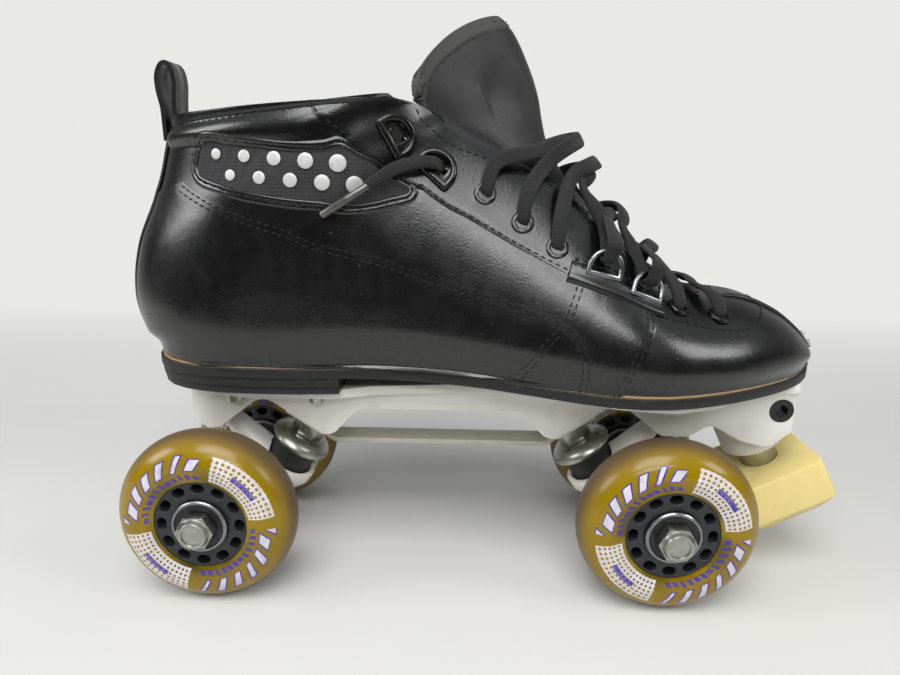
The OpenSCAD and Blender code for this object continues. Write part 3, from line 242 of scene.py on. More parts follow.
def laceWeave():
    # flat braided polyester lace: herringbone of plaits along its length
    mat, shader = startMaterial("braidedLace", IOR=1.5, Sheen_Weight=0.08, Sheen_Roughness=0.5, Roughness=0.8)
    uv, where = addNode(mat, "UVMap", uv_map="UVMap"), addNode(mat, "TexCoord", pick="Object")
    run, across = addNode(mat, "SeparateXYZ", {0: uv}).node.outputs[:2]
    plait, pitch = addNode(mat, "Math", {0: across}, operation="ABSOLUTE"), 1.1
    for step, inputs in (("MULTIPLY_ADD", {1: pitch, 2: run}), ("MULTIPLY", {1: 2 * math.pi / pitch}), ("SINE", {})):
        plait = addNode(mat, "Math", {0: plait, **inputs}, operation=step)
    rib = addNode(mat, "MapRange", {0: plait, 1: -1, 2: 1})
    lint = patches(mat, where, 0.9, 4, 0.8, 0.64, 0.75, 0.0, 0.3)
    fuzz = addNode(mat, "Bump", {"Height": lint, "Strength": 0.4, "Distance": 0.3 * mm})
    feed(mat, shader, Base_Color=painted(mat, "#060607", [(rib, "#1b1b1c"), (lint, "#5c5a57")]),
         Normal=addNode(mat, "Bump", {"Height": rib, "Strength": 0.6, "Distance": 0.35 * mm, "Normal": fuzz}))
    return mat


def windowMesh():
    # knitted nylon mesh on foam: small dark cells in rows
    mat, shader = startMaterial("knitMesh", IOR=1.5, Roughness=0.75)
    where = addNode(mat, "TexCoord", pick="Object")
    cells = addNode(mat, "TexVoronoi", {"Vector": where, "Scale": 1 / (1.3 * mm), "Randomness": 0.15})
    yarn = addNode(mat, "MapRange", {0: cells, 1: 0.1, 2: 0.55})
    feed(mat, shader, Base_Color=painted(mat, "#0b0b0c", [(yarn, "#2a2a2c")]),
         Normal=addNode(mat, "Bump", {"Height": cells, "Strength": 0.4, "Distance": 0.4 * mm}))
    return mat


leather = grainedLeather("blackLeather", "#050506", "#0a0a0b", 0.25)
trimLeather = grainedLeather("trimLeather", "#060607", "#0c0c0d", 0.35)
lining = feltBoard("liningFleece", "#1a1918", "#2c2a28")
cutEdge = feltBoard("cutLeatherEdge", "#2c2620", "#54483a")
thread = feltBoard("waxedThread", "#0c0c0d", "#232324")
weltBoard = feltBoard("tanWelt", "#8f744e", "#b3966a")
insoleFelt = feltBoard("insoleFelt", "#2b2a29", "#454341")
soleRubber = mouldedRubber("soleRubber", "#080808", "#101010", 0.5)
liftRubber = mouldedRubber("heelRubber", "#090909", "#121212", 0.45)
cushionRubber = mouldedRubber("cushionRubber", "#0f0f10", "#1b1b1c", 0.6)
sealRubber = mouldedRubber("sealRubber", "#0d0d0e", "#18181a", 0.5)
blackSteel = mouldedRubber("blackLacquer", "#060606", "#0c0c0c", 0.2)
zinc = platedSteel("zincPlate", "#b9bbb4", "#8d8f86", 0.3)
bright = platedSteel("brightSteel", "#97989a", "#7c7e80", 0.26)
alloy = platedSteel("greyAlloy", "#d2d0c2", "#b4b1a2", 0.6, 0.55)
satin = wovenTape("tongueTwill", "#0b0b0d", "#151519", 0.5, 0.42)
tape = wovenTape("bindingTape", "#2b2b2a", "#42423f", 0.5, 0.6)
stripe = wovenTape("greyStripe", "#5a5a5c", "#7d7d80", 0.6, 0.5)
amber, braid, mesh = tyreUrethane(), laceWeave(), windowMesh()
# powder-coated die casting: near-white, orange peel, grey grime gathered in patches
enamel = layered("whiteEnamel", "#e2e1da", [("#b3ae9f", 16, 6, 0.65, 0.52, 0.78, 0.0, 0.45),
                                            ("#7d786d", 1.6, 3, 0.8, 0.72, 0.78, 0.0, 0.6)],
                 (0.0, 0.45, 0.32, 0.55), (0.08, 0.2, 1.2, 2), IOR=1.5)
# glass-filled nylon moulding: charcoal with a blue cast, satin
nylon = layered("charcoalNylon", "#15171b", [("#24272c", 4, 4)], (0.3, 0.7, 0.38, 0.55), (0.1, 0.1, 0.7, 2), IOR=1.53)
# cast polyurethane block: opaque pale amber, chalky, with scuffs
block = layered("paleUrethane", "#e6d592", [("#d9c47c", 11, 5, 0.6), ("#b39c5e", 2.4, 4, 0.75, 0.62, 0.75, 0.0, 0.55)],
                (0.3, 0.7, 0.5, 0.68), (0.2, 0.2, 1.1, 4), IOR=1.5, Subsurface_Weight=0.2, Subsurface_Scale=0.004,
                Subsurface_Radius=(1, 0.75, 0.4))
# silver glass-bead transfer film: pale grey, fine grain, slightly cracked
film = layered("beadFilm", "#b4b5b3", [("#d2d2cf", 0.5, 3), ("#7f7f7c", 3, 5, 0.7, 0.6, 0.72, 0.0, 0.5)],
               (0.3, 0.7, 0.35, 0.55), IOR=1.6, Metallic=0.25)
# drawn acetate tube: glossy and smoky, as if the black lace were seen through it
acetate = layered("clearAcetate", "#1c1c1c", [("#63625e", 2.5, 4)], (0.3, 0.7, 0.12, 0.3), IOR=1.48, Coat_Weight=0.6,
                  Coat_Roughness=0.08)
print("materials ready")


# helpers for pieces
def keep(name, bm, materials, body, replaced=(), slot=None, sharp=40):
    data = bpy.data.meshes.new(name)
    bm.edges.index_update()
    rims = [e.index for e in bm.edges if e.is_boundary]
    bm.to_mesh(data)
    bm.free()
    for mat in materials:
        data.materials.append(mat)
    data.polygons.foreach_set("use_smooth", [True] * len(data.polygons))
    data.set_sharp_from_angle(angle=math.radians(sharp))
    for i in rims:
        data.edges[i].use_edge_sharp = True
    piece = bpy.data.objects.new(name, data)
    bpy.context.scene.collection.objects.link(piece)
    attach(piece, body)
    if replaced:
        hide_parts(*replaced)
    return piece


def mappedGrid(across, rows, place, outward=None, uvAt=None):
    bm = bmesh.new()
    bmesh.ops.create_grid(bm, x_segments=across, y_segments=rows, size=1)
    uvLayer = bm.loops.layers.uv.new("UVMap")
    for face in bm.faces:
        for loop in face.loops:
            at = (loop.vert.co.x + 1) / 2, (loop.vert.co.y + 1) / 2
            loop[uvLayer].uv = uvAt(*at) if uvAt else at
    for v in bm.verts:
        v.co = place((v.co.x + 1) / 2, (v.co.y + 1) / 2) * mm
    if outward is not None:
        bm.faces.ensure_lookup_table()
        bm.normal_update()
        face = bm.faces[len(bm.faces) // 2 + across // 2]
        if face.normal.dot(outward) < 0:
            bmesh.ops.reverse_faces(bm, faces=bm.faces)
    return bm


def joined(parts):
    whole = bmesh.new()
    for bm in parts:
        data = bpy.data.meshes.new("joining")
        bm.to_mesh(data)
        bm.free()
        whole.from_mesh(data)
        bpy.data.meshes.remove(data)
    return whole


def thicken(piece, thickness, offset=-1, inner=0, rim=0):
    mod = piece.modifiers.new("wall", "SOLIDIFY")
    mod.thickness, mod.offset = thickness * mm, offset
    mod.material_offset, mod.material_offset_rim = inner, rim
    return piece


def spunRing(profile, matrix, steps=64, closed=True):
    bm = bmesh.new()
    ring = [bm.verts.new((r * mm, 0, h * mm)) for r, h in profile]
    edges = [bm.edges.new((ring[i - 1], ring[i])) for i in range(0 if closed else 1, len(ring))]
    bmesh.ops.spin(bm, geom=ring + edges, cent=(0, 0, 0), axis=(0, 0, 1), angle=2 * math.pi, steps=steps,
                   use_merge=True)
    bmesh.ops.remove_doubles(bm, verts=bm.verts, dist=1e-6)
    bmesh.ops.recalc_face_normals(bm, faces=bm.faces)
    bmesh.ops.transform(bm, matrix=matrix, verts=bm.verts)
    return bm


def faced(bm, outward):
    bmesh.ops.remove_doubles(bm, verts=bm.verts, dist=.004 * mm)
    bmesh.ops.recalc_face_normals(bm, faces=bm.faces)
    bm.faces.ensure_lookup_table()
    bm.normal_update()
    if bm.faces[0].normal.dot(outward) < 0:
        bmesh.ops.reverse_faces(bm, faces=bm.faces)
    return bm


def closedTube(bm, gap):
    bmesh.ops.remove_doubles(bm, verts=bm.verts, dist=gap * mm)
    bmesh.ops.holes_fill(bm, edges=[e for e in bm.edges if e.is_boundary], sides=0)
    bmesh.ops.recalc_face_normals(bm, faces=bm.faces)
    return bm


def softenedCopy(name, node, mat, body, slot, radius, angle=32):
    bm = bmesh.new()
    bm.from_mesh(nodes[node].data)
    bmesh.ops.remove_doubles(bm, verts=bm.verts, dist=2e-6)
    bmesh.ops.dissolve_limit(bm, angle_limit=math.radians(0.6), verts=bm.verts, edges=bm.edges)
    if radius:
        rims = [e for e in bm.edges if len(e.link_faces) == 2 and e.calc_face_angle() > math.radians(angle)]
        bmesh.ops.bevel(bm, geom=rims, offset=radius * mm, offset_type="OFFSET", segments=2, profile=0.5,
                        affect="EDGES", clamp_overlap=True, material=-1)
    bmesh.ops.recalc_face_normals(bm, faces=bm.faces)
    keep(name, bm, [mat], body, [node], slot)


# boot form: the same rings and sections as the solids, in mm; each ring has its top x and z, low x and z,
# half width, middle y, and how far it is a shaft above and below
bootForm = {
    "rings": [(144, 4.4, 143.6, -.2, 6, 7, 0, 0), (141.5, 8.2, 141.5, -.5, 13, 6.8, 0, 0),
              (135, 15.2, 135.5, -.6, 20, 6, 0, 0), (123, 24, 124.5, -.6, 29.5, 5, 0, 0),
              (106, 31.2, 107.5, -.6, 39.5, 3, 0, 0), (86, 33.7, 88, -.6, 46.5, 1, 0, 0),
              (66, 40.7, 66, -.6, 51, -.5, 0, 0), (47, 60, 36, -.6, 47, -1.5, 0, 0),
              (30, 76.6, 2, -.6, 39, -2, 0, 0), (13, 88, -38, -.6, 35.5, -1, .13, 0),
              (0, 95.8, -88, -.6, 35.5, 0, .34, .02), (-4.5, 99.8, -137, -.5, 35.5, 0, .62, .16),
              (-9, 101.3, -145.3, 7.3, 35.5, 0, .86, .62), (-12, 102.3, -149.3, 23.3, 35, 0, .98, .94),
              (-13.5, 103.1, -146, 44.3, 34.5, 0, 1, 1), (-15, 103.8, -136.6, 66.3, 33.5, 0, 1, 1),
              (-16, 103.8, -131.4, 81.8, 33.5, 0, 1, 1), (-17, 103.3, -128.5, 95.3, 33.5, 0, 1, 1)],
    "foot": [(0, 0), (0, .3), (0, .62), (0, .9), (.03, .97), (.12, 1), (.26, 1), (.42, .965), (.58, .88), (.73, .74),
             (.86, .55), (.95, .31), (1, 0)],
    "shaft": [(0, 0), (.012, .2), (.045, .38), (.1, .56), (.18, .73), (.28, .87), (.4, .965), (.52, 1), (.64, .985),
              (.76, .9), (.87, .72), (.955, .42), (1, 0)],
    "throat": [(98, 0), (97, 2.8), (95, 5), (91, 7), (86, 8.6), (76, 10), (60, 11.5), (45, 13.3), (30, 15), (16, 16.3),
               (3, 17.3), (-8, 18), (-19, 18.8), (-32, 20.3), (-46, 21), (-62, 21)],
    "feather": ((-45, 96.2), (45, 92.8)), "wall": 2.8, "lasted": ((4, 6), (9, 17), (11, 17), (12, 9)),
    "heel": (45, 70, 60), "rows": 210, "columns": 132,
    "ringHoles": [(10.1, 9.5), (12.8, 9.7)], "ringHoleRadius": 3.4,
}


def unit(x):
    return min(max(x, 0), 1)


def spline(a, b, c, d, t):
    return tuple(q + .5 * t * ((r - p) + t * ((2 * p - 5 * q + 4 * r - s) + t * (3 * q - p - 3 * r + s)))
                 for p, q, r, s in zip(a, b, c, d))


def along(rows, u):
    n = len(rows)
    i = max(0, min(math.floor(u), n - 2))
    return spline(rows[max(i - 1, 0)], rows[i], rows[i + 1], rows[min(i + 2, n - 1)], u - i)


def between(table, x):
    low, high = table[0], table[-1]
    if (x - low[0]) * (high[0] - low[0]) <= 0:
        return low[1]
    for p, q in zip(table, table[1:]):
        if (x - p[0]) * (x - q[0]) <= 0 and p[0] != q[0]:
            return p[1] + (q[1] - p[1]) * (x - p[0]) / (q[0] - p[0])
    return high[1]


@lru_cache(maxsize=None)
def bootRing(u):
    r = along(bootForm["rings"], max(u, 0))
    level = between(bootForm["feather"], r[2])
    shrink = math.sqrt(max(0, 1 + u / .6)) if u < 0 else 1      # the toe's nose closes to a point
    push = 1.4 * (1 - shrink)
    middle = (r[1] + r[3]) / 2
    return (r[0] + push, level + middle + (r[1] - middle) * shrink, r[2] + push,
            level + middle + (r[3] - middle) * shrink, r[4] * shrink, r[5], r[6], r[7])


heelLine = [(r[3], r[2]) for r in bootForm["rings"][11:]]


def heelWidth(x, h):
    # one rounded plan at each height round the heel
    i = 0
    while i < len(heelLine) - 2 and h > heelLine[i + 1][0]:
        i += 1
    (low, _), (high, _) = heelLine[i:i + 2]
    back = along(heelLine, i + unit((h - low) / (high - low)))[1]
    short, long, tall = bootForm["heel"]
    s = (x - back) / (short + (long - short) * unit(h / tall))
    return math.sqrt(1 - (1 - unit(s)) ** 2)


def soleRim():
    # the midsole's edge, which the leather is pulled in to
    turned = sorted({(round(math.atan2(v.co.y, v.co.x), 3), v.co.x / mm, v.co.y / mm)
                     for v in nodes["midsole"].data.vertices})
    rim = [Vector(p[1:] + (0,)) for p in turned]
    tree = KDTree(20 * len(rim))
    for i, (a, b) in enumerate(zip(rim, rim[1:] + rim[:1])):
        for j in range(20):
            tree.insert(a.lerp(b, j / 20), 20 * i + j)
    tree.balance()
    return tree


sole = soleRim()


def toSole(p):
    return sole.find(Vector((p.x, p.y, 0)))[0] - Vector((p.x, p.y, 0))


def skin(u, k, side):
    # the boot's outside: u counts rings from the toe, k steps round the half section from the sole
    r = bootRing(round(min(u, 17), 5))
    high = unit((k - 4) / 3)
    share = r[7] + (r[6] - r[7]) * high
    a, b = along(bootForm["foot"], k), along(bootForm["shaft"], k)
    up, out = (max(0, p + (q - p) * share) for p, q in zip(a, b))
    p = Vector((r[2] + (r[0] - r[2]) * up, 0, r[3] + (r[1] - r[3]) * up))
    level = between(bootForm["feather"], p.x)
    if u > 8:
        full = heelWidth(p.x, p.z - level)
        out = min(a[1], full) * (1 - share) + (full + (b[1] - full) * high) * share
    p.y = r[5] + side * r[4] * out
    low = 1 - (p.z - level) / between(bootForm["lasted"], u)
    if low > 0 and (k > 2.4 or u > 10.5):
        low = min(low, 1)
        p += toSole(p) * low * low * (3 - 2 * low) * min(1, max((k - 2.4) / 1.2, (u - 10.5) / .8))
    return p


def skinNormal(u, k, side):
    a = skin(min(u + .1, 17), k, side) - skin(min(u, 17) - .1, k, side)
    b = skin(u, min(k + .4, 12), side) - skin(u, max(k - .4, 0), side)
    return (a.cross(b) * side).normalized()


def skinUp(u, k, side):
    n = skinNormal(u, k, side)
    v = skin(u, min(k + .5, 12), side) - skin(u, k - .5, side)
    return (v - n * v.dot(n)).normalized()


def offSkin(u, k, side, h):
    return skin(u, k, side) + skinNormal(u, k, side) * h


throatLine = [along(bootForm["throat"], i / 8) for i in range(8 * len(bootForm["throat"]) - 7)]


@lru_cache(maxsize=None)
def throatEdge(u, side):
    # how far round a ring the leather goes before the throat opens
    def inside(k):
        p = skin(u, k, side)
        return p.x > 98 or p.z < 112 or abs(p.y) > between(throatLine, p.x)
    if inside(12):
        return 12.0
    low, high = 6.0, 12.0
    for _ in range(30):
        middle = (low + high) / 2
        low, high = (middle, high) if inside(middle) else (low, middle)
    return low


def slopes(u, k, side):
    a = (skin(min(u + .05, 17), k, side) - skin(min(u, 17) - .05, k, side)) / (.1 if u <= 16.95 else .05)
    b = (skin(u, min(k + .1, 12), side) - skin(u, max(k - .1, 0), side)) / .2
    return a, b


def shifted(u, k, side, step):
    # the place that lies a step away along the surface
    a, b = slopes(u, k, side)
    aa, ab, bb, sa, sb = a.dot(a), a.dot(b), b.dot(b), step.dot(a), step.dot(b)
    det = aa * bb - ab * ab
    return u + (sa * bb - sb * ab) / det, k + (sb * aa - sa * ab) / det


def skinAt(x, z, side):
    # the place seen at x and z from the side
    u, k = 13.5, 6.5
    for _ in range(12):
        p = skin(u, k, side)
        a, b = slopes(u, k, side)
        dx, dz = x - p.x, z - p.z
        det = a.x * b.z - a.z * b.x
        u = min(max(u + (dx * b.z - dz * b.x) / det, 8), 17)
        k = min(max(k + (a.x * dz - a.z * dx) / det, 1), 11.5)
    return u, k


collarForm = {"hem": 16.55, "panel": [(0, 16.15), (3.67, 15.95), (5, 15.72), (6.1, 15.15), (7, 14.65), (7.7, 14.22),
                                      (8.3, 14), (12, 14)], "pad": 2.1, "roll": .7, "top": 17.25,
              "front": 8.6, "back": .6, "corner": 3.5, "cornerFrom": .74}


def collarPad(u, k):
    low, high = between(collarForm["panel"], k), collarForm["hem"]
    if u >= high:
        return collarForm["roll"] * math.sin(math.pi * min(1, (u - high) / (collarForm["top"] - high)))
    if u <= low:
        return 0
    ends = unit((collarForm["front"] - k) / 1.2) * unit((k - collarForm["back"]) / 1.6)
    return collarForm["pad"] * ends * math.sin(math.pi * (u - low) / (high - low)) ** .8


def rounded(u, share, side):
    start = collarForm["cornerFrom"]
    drop = collarForm["corner"] * max(0, (share - start) / (1 - start)) ** 5.5      # the collar's front corner
    u -= drop * unit((u - 11) / 6)
    return u, throatEdge(round(u, 4), side) * share


def dressed(u, k, side, h=0):
    return offSkin(u, k, side, h + collarPad(u, k))


# lace: the same route as the solids, as a flat braid
laceForm = {
    "eyelets": [(4.8, 9.4), (5.65, 9.5), (7.8, 8.7), (8.4, 8.9), (9.1, 9.2)], "wires": [(6.35, 9), (7.05, 8.7)],
    "ring": (10.1, 9.5), "crossings": [.9, 2, 2.9, 3.9, 4.8], "climb": .2, "radius": 1.7, "inside": 5.3,
    "slack": [(.9, 0), (2, .6), (2.9, 2), (3.9, 7), (4.8, 6)],
    "wireRise": math.radians(28), "wireUp": 1.4, "wireEnd": 9, "wireRadius": 1,
    "end": [(10.31, 9.42, 5.3), (10.44, 9.38, 6.7), (10.6, 9.32, 7.1), (10.76, 9.25, 6.6), (10.91, 9.16, 5.6),
            (11.03, 9.02, 4.9), (11.12, 8.6, 4)],
    "tip": (11.3, 7.75, 2.6), "width": 6.3, "holeWidth": 4.4, "thickness": 2.1, "endWidth": 4.8,
}
tongueForm = {
    "line": [(95, 25.2, 3.6, -.3, -.6), (84, 31, 7.4, -.6, -1.4), (66, 41, 9.6, -1.5, -2), (48, 57, 11.6, -3, -3),
             (33, 72.4, 13.4, -6, -5), (25, 85.3, 15, -14, -7), (21.5, 94.5, 16, -25, -9),
             (18.5, 105.3, 17, -37, -13), (13.5, 117.3, 18.5, -42, -20), (8.5, 126.8, 20, -44, -26),
             (3, 133.6, 20.5, -39, -31)],
    "trim": [(0, 0), (5, 0), (6, 5), (7, 6.5), (8, 7), (9, 7.5), (10, 8)],
    "base": 96.2, "thickness": 2.6, "binding": 5.8, "bindingLift": .5, "puff": 1.2, "skirt": 40, "crease": -4,
    "folds": [(1.7, 7.1, 1.1, 12, 2.2, 0), (.6, 8.8, 1.1, 10, -1.3, 1)], "hem": 9.58,
}


def tongueNormal(v):
    a, b = along(tongueForm["line"], max(v - .2, 0)), along(tongueForm["line"], min(v + .2, 10))
    return Vector((b[1] - a[1], 0, a[0] - b[0])).normalized()


def tonguePoint(v, s, d=0):
    r = along(tongueForm["line"], v)
    n = tongueNormal(v)
    angle = math.pi / 2 * s
    back, fall = math.sin(angle) ** 2, max(0, 1 - math.cos(angle)) ** 1.3
    return Vector((r[0] + r[3] * back - n.x * d, (r[2] - .8 * d) * math.sin(angle),
                   tongueForm["base"] + r[1] + r[4] * fall - n.z * d))


def wirePoint(p, side, out, up):
    rise = laceForm["wireRise"]
    return (offSkin(*p, side, laceForm["wireUp"] + out * math.sin(rise) + up * math.cos(rise))
            + skinUp(*p, side) * (out * math.cos(rise) - up * math.sin(rise)))


def laceDown(p, side):
    n, t = skinNormal(*p, side), skinUp(*p, side)
    wide, slim = laceForm["width"], laceForm["holeWidth"]
    return [(offSkin(p[0] + .12, p[1] + .8, side, 5.2), n - t * .5, wide - .6),
            (offSkin(p[0] + .03, p[1] + .16, side, 2.6), n - t * 1.4, slim + .8),
            (offSkin(*p, side, 0), -t, slim), (offSkin(*p, side, -laceForm["inside"]), -t, slim)]


def laceTurn(p, side):
    o = laceForm["wireRadius"] + laceForm["radius"] + .4
    end, wide = laceForm["wireEnd"], laceForm["width"]
    b = end - o - .1
    m = (wirePoint(p, side, 0, 1) - wirePoint(p, side, 0, 0)).normalized()
    out = (wirePoint(p, side, 1, 0) - wirePoint(p, side, 0, 0)).normalized()
    return [(wirePoint(p, side, end + 4, o + .4), m, wide), (wirePoint(p, side, end, o + .1), m, wide - .4),
            (wirePoint(p, side, b, .55 * o), m - 1.4 * out, wide - .8),
            (wirePoint(p, side, b, -.55 * o), -m - 1.4 * out, wide - .8), (wirePoint(p, side, end, -o), -m, wide - .4),
            (offSkin(p[0] + .1, p[1] + 2.1, side, laceForm["radius"] + 1.4), -m, wide)]


def laceOver(v, side, h):
    rows = []
    slack = between(laceForm["slack"], v)
    for t in (-.8, -.42, 0, .42, .8):
        at = v + t * laceForm["climb"]
        rise = 3.1 + abs(t) + (1 - abs(t)) * h + slack * math.cos(math.pi / 2 * t)
        lean = Vector((0, -.5 * t * side, 0))
        rows.append((tonguePoint(at, -t * side, -rise), (tongueNormal(at) + lean).normalized(), laceForm["width"]))
    return rows


def ringInside(side):
    u, k = laceForm["ring"]
    return offSkin(u - .17, k + .06, side, -laceForm["inside"])


def halfLace(s, h):
    e, w, c = laceForm["eyelets"], laceForm["wires"], laceForm["crossings"]
    flat, n = laceForm["width"], tongueNormal(c[0])
    start = [(tonguePoint(c[0], 0, -3.1), n, flat), (tonguePoint(c[0], s, -3.1), n, flat)]
    out = skinNormal(*laceForm["ring"], s)
    return (start + laceDown(e[0], s) + laceDown(e[1], s)[::-1] + laceOver(c[1], s, h) + laceTurn(w[0], -s)
            + laceOver(c[2], -s, h) + laceTurn(w[1], s) + laceOver(c[3], s, h) + laceDown(e[2], -s)
            + laceDown(e[3], -s)[::-1] + laceOver(c[4], -s, h) + laceDown(e[4], s)
            + [(ringInside(s), -skinUp(*laceForm["ring"], s), laceForm["holeWidth"]),
               (offSkin(*laceForm["ring"], s, 0), out, laceForm["holeWidth"])])


# a braid along stations of place, upward direction and width
def braidTube(stations, thickness, steps, sides=14, ease=3):
    rows = []
    ups = [stations[0][1].normalized()]
    for p, up, w in stations[1:]:
        up = up.normalized()
        ups.append(up if up.dot(ups[-1]) >= 0 else -up)
    flat = [tuple(p) + tuple(up) + (w,) for (p, _, w), up in zip(stations, ups)]
    for i in range(len(flat) - 1):
        rows += [along(flat, i + j / steps) for j in range(steps)]
    rows.append(flat[-1])
    line = [Vector(r[:3]) for r in rows]
    for _ in range(ease):
        line = [line[0]] + [(line[i - 1] + line[i] * 2 + line[i + 1]) / 4 for i in range(1, len(line) - 1)] + [line[-1]]
    frames, run = [], [0]
    for i, p in enumerate(line):
        run.append(run[-1] + (p - line[max(i - 1, 0)]).length)
        ahead = (line[min(i + 1, len(line) - 1)] - line[max(i - 1, 0)]).normalized()
        up = Vector(rows[i][3:6])
        up = (up - ahead * up.dot(ahead)).normalized()
        if frames and up.dot(frames[-1][1]) < 0:
            up = -up
        frames.append((ahead.cross(up), up, rows[i][6]))

    def place(s, t):
        i = round(t * (len(line) - 1))
        across, up, w = frames[i]
        a = 2 * math.pi * s
        bulge = math.copysign(abs(math.cos(a)) ** .7, math.cos(a)) * w / 2
        return line[i] + across * bulge + up * math.copysign(abs(math.sin(a)) ** .8, math.sin(a)) * thickness / 2

    def uvAt(s, t):
        i = round(t * (len(line) - 1))
        return run[i + 1], frames[i][2] / 2 * math.cos(2 * math.pi * s)

    return closedTube(mappedGrid(sides, len(line) - 1, place, uvAt=uvAt), .005), line


def laceEndStations(side):
    u, k = laceForm["ring"]
    a = offSkin(u, k, side, 0)
    out = (a - ringInside(side)).normalized()
    last = laceForm["end"][-1]
    b, t = offSkin(*last[:2], side, last[2]), offSkin(*laceForm["tip"][:2], side, laceForm["tip"][2])
    wide = laceForm["endWidth"]
    up = skinNormal(u, k, side)
    rows = [(a, up - out * .5, laceForm["holeWidth"]), (a + out * 4, up, wide)]
    rows += [(offSkin(*p[:2], side, p[2]), skinNormal(*p[:2], side), wide) for p in laceForm["end"][:-1]]
    n = skinNormal(*last[:2], side)
    return rows + [(b - (t - b).normalized() * 2.5, n, 4), (b, n, 3.4)], b, t


def buildLaceEnds():
    for side, hand in ((-1, "right"), (1, "left")):
        rows, b, t = laceEndStations(side)
        long = (t - b).length
        turn = Matrix.Translation(b * mm) @ (t - b).to_track_quat("Z", "X").to_matrix().to_4x4()
        bm = spunRing([(0, -.6), (1.25, -.6), (1.5, -.2), (1.5, long - .7), (1.2, long), (.6, long - .2),
                       (0, long - .9)], turn, 20, closed=False)
        aglet = keep(f"aglet{hand.title()}", bm, [acetate], "chassis", ["aglets"], "clear_plastic", 50)
        bm, line = braidTube(rows, laceForm["thickness"], 6, ease=1)
        cord = keep(f"laceEnd{hand.title()}", bm, [braid], "chassis", [f"lace_end_{hand}"], "black_lace", 60)
        sum((q - p).length for p, q in zip(line, line[1:])) * mm
        [p * mm for p in line]


buildLaceEnds()
print("lace ends laid")


def buildLace():
    right, left = halfLace(-1, 0), halfLace(1, 3.9)
    bm, line = braidTube(right[:0:-1] + left, laceForm["thickness"], 5)
    keep("laceBraid", bm, [braid], "chassis", ["lace"], "black_lace", 60)
    print("lace", round(sum((q - p).length for p, q in zip(line, line[1:]))), "mm")


buildLace()


def cutRingHoles(bm):
    holes = [skin(u, k, side) for u, k in bootForm["ringHoles"] for side in (-1, 1)]
    inside = [f for f in bm.faces
              if min((f.calc_center_median() / mm - h).length for h in holes) < bootForm["ringHoleRadius"]]
    bmesh.ops.delete(bm, geom=inside, context="FACES")


def buildUpper():
    def place(s, t):
        side = -1 if s < .5 else 1
        u = -.6 + 17.6 * (t ** .86)
        u, k = rounded(u, abs(2 * s - 1), side)
        return dressed(u, k, side) if u > .3 else skin(u, k, side)

    bm = mappedGrid(bootForm["columns"], bootForm["rows"], place)
    bmesh.ops.remove_doubles(bm, verts=bm.verts, dist=.02 * mm)
    bmesh.ops.recalc_face_normals(bm, faces=bm.faces)
    back = min(bm.faces, key=lambda f: f.calc_center_median().x)
    if back.normal.x > 0:
        bmesh.ops.reverse_faces(bm, faces=bm.faces)
    cutRingHoles(bm)
    piece = keep("bootUpper", bm, [leather, lining, cutEdge], "chassis", ["upper"], "black_leather", 60)
    thicken(piece, bootForm["wall"], inner=1, rim=2)


buildUpper()
print("upper built")

# seams and overlays on the upper, as places along the boot and round the half section
seams = {
    "counter": [(14.92, 3.7), (14.4, 4.77), (13.85, 5.58), (13.18, 6.28), (12.25, 6.92), (11.31, 7.24), (10.66, 7.25),
                (10.2, 7.21), (9.8, 7.18), (9.38, 7.06), (9.03, 6.98), (8.55, 6.92), (7.99, 6.86), (7.59, 6.8),
                (7.37, 6.74), (7.21, 6.55), (7.07, 6.21), (6.97, 5.61), (6.92, 4.41), (6.9, 3.1)],
    "strut": [(7.42, 6.58), (7.59, 5.59), (7.74, 4.09), (7.8, 3.2)],
    "vamp": [(6.2, 8.71), (6.19, 7.98), (6.28, 7), (6.39, 5.92), (6.51, 4.24), (6.56, 3.1)],
    "tab": [(7.35, 8.01), (7.39, 6.97)],
    "strap": [(7.56, 8.42), (7.05, 8.62), (6.35, 8.95), (6.02, 9.12)],
    "eyestay": [(16.95, 7.3), (16.08, 7.57), (14.98, 8.08), (14.23, 8.5), (13.87, 8.53), (11.92, 9.06), (10.24, 8.84),
                (10.02, 8.85), (9.44, 8.57), (8.77, 8.36), (8.33, 8.23), (7.78, 8.15), (7.4, 8.16)],
    "panel": [(16.23, 2.6), (16.15, 3.67), (15.92, 5.02), (15.3, 6.1), (14.7, 7.04), (14.28, 7.68), (14.05, 8.2)],
    "apron": [(6.15, 8.66), (5.62, 8.74), (4.86, 8.59), (4.27, 8.62), (3.82, 9.46), (3.6, 10.3), (3.5, 11.95)],
    "windowTop": [(15.86, 4.46), (15.48, 5.4), (14.98, 6.4), (14.38, 7.45), (13.99, 8.07), (13.7, 8.5), (11.92, 8.98)],
    "windowLow": [(10.3, 8.8), (10.45, 8.47), (10.94, 8.17), (12.02, 7.8), (12.9, 7.22), (13.64, 6.49), (14.4, 5.43),
                  (14.95, 4.42), (15.4, 4.22)],
}
stitchForm = {"pitch": 3.1, "length": 2.3, "thread": .34}


def sampled(points, side, shift, lift):
    # places for stitches along a line of the skin, shifted across it
    dense, pitch = [], stitchForm["pitch"]
    for i in range(len(points) - 1):
        dense += [along(points, i + j / 12) for j in range(12)]
    dense.append(points[-1])
    line = [skin(u, k, side) for u, k in dense]
    run, out, due = 0.0, [], pitch / 2
    for (u, k), p, q in zip(dense, line, line[1:]):
        step = (q - p).length
        if step > 1e-6 and run + step >= due:
            ahead = (q - p).normalized()
            n = skinNormal(u, k, side)
            u2, k2 = shifted(u, k, side, ahead * (due - run) + n.cross(ahead) * shift * side)
            out.append((dressed(u2, k2, side, lift), ahead, skinNormal(u2, k2, side)))
            due += pitch
        run += step
    return out


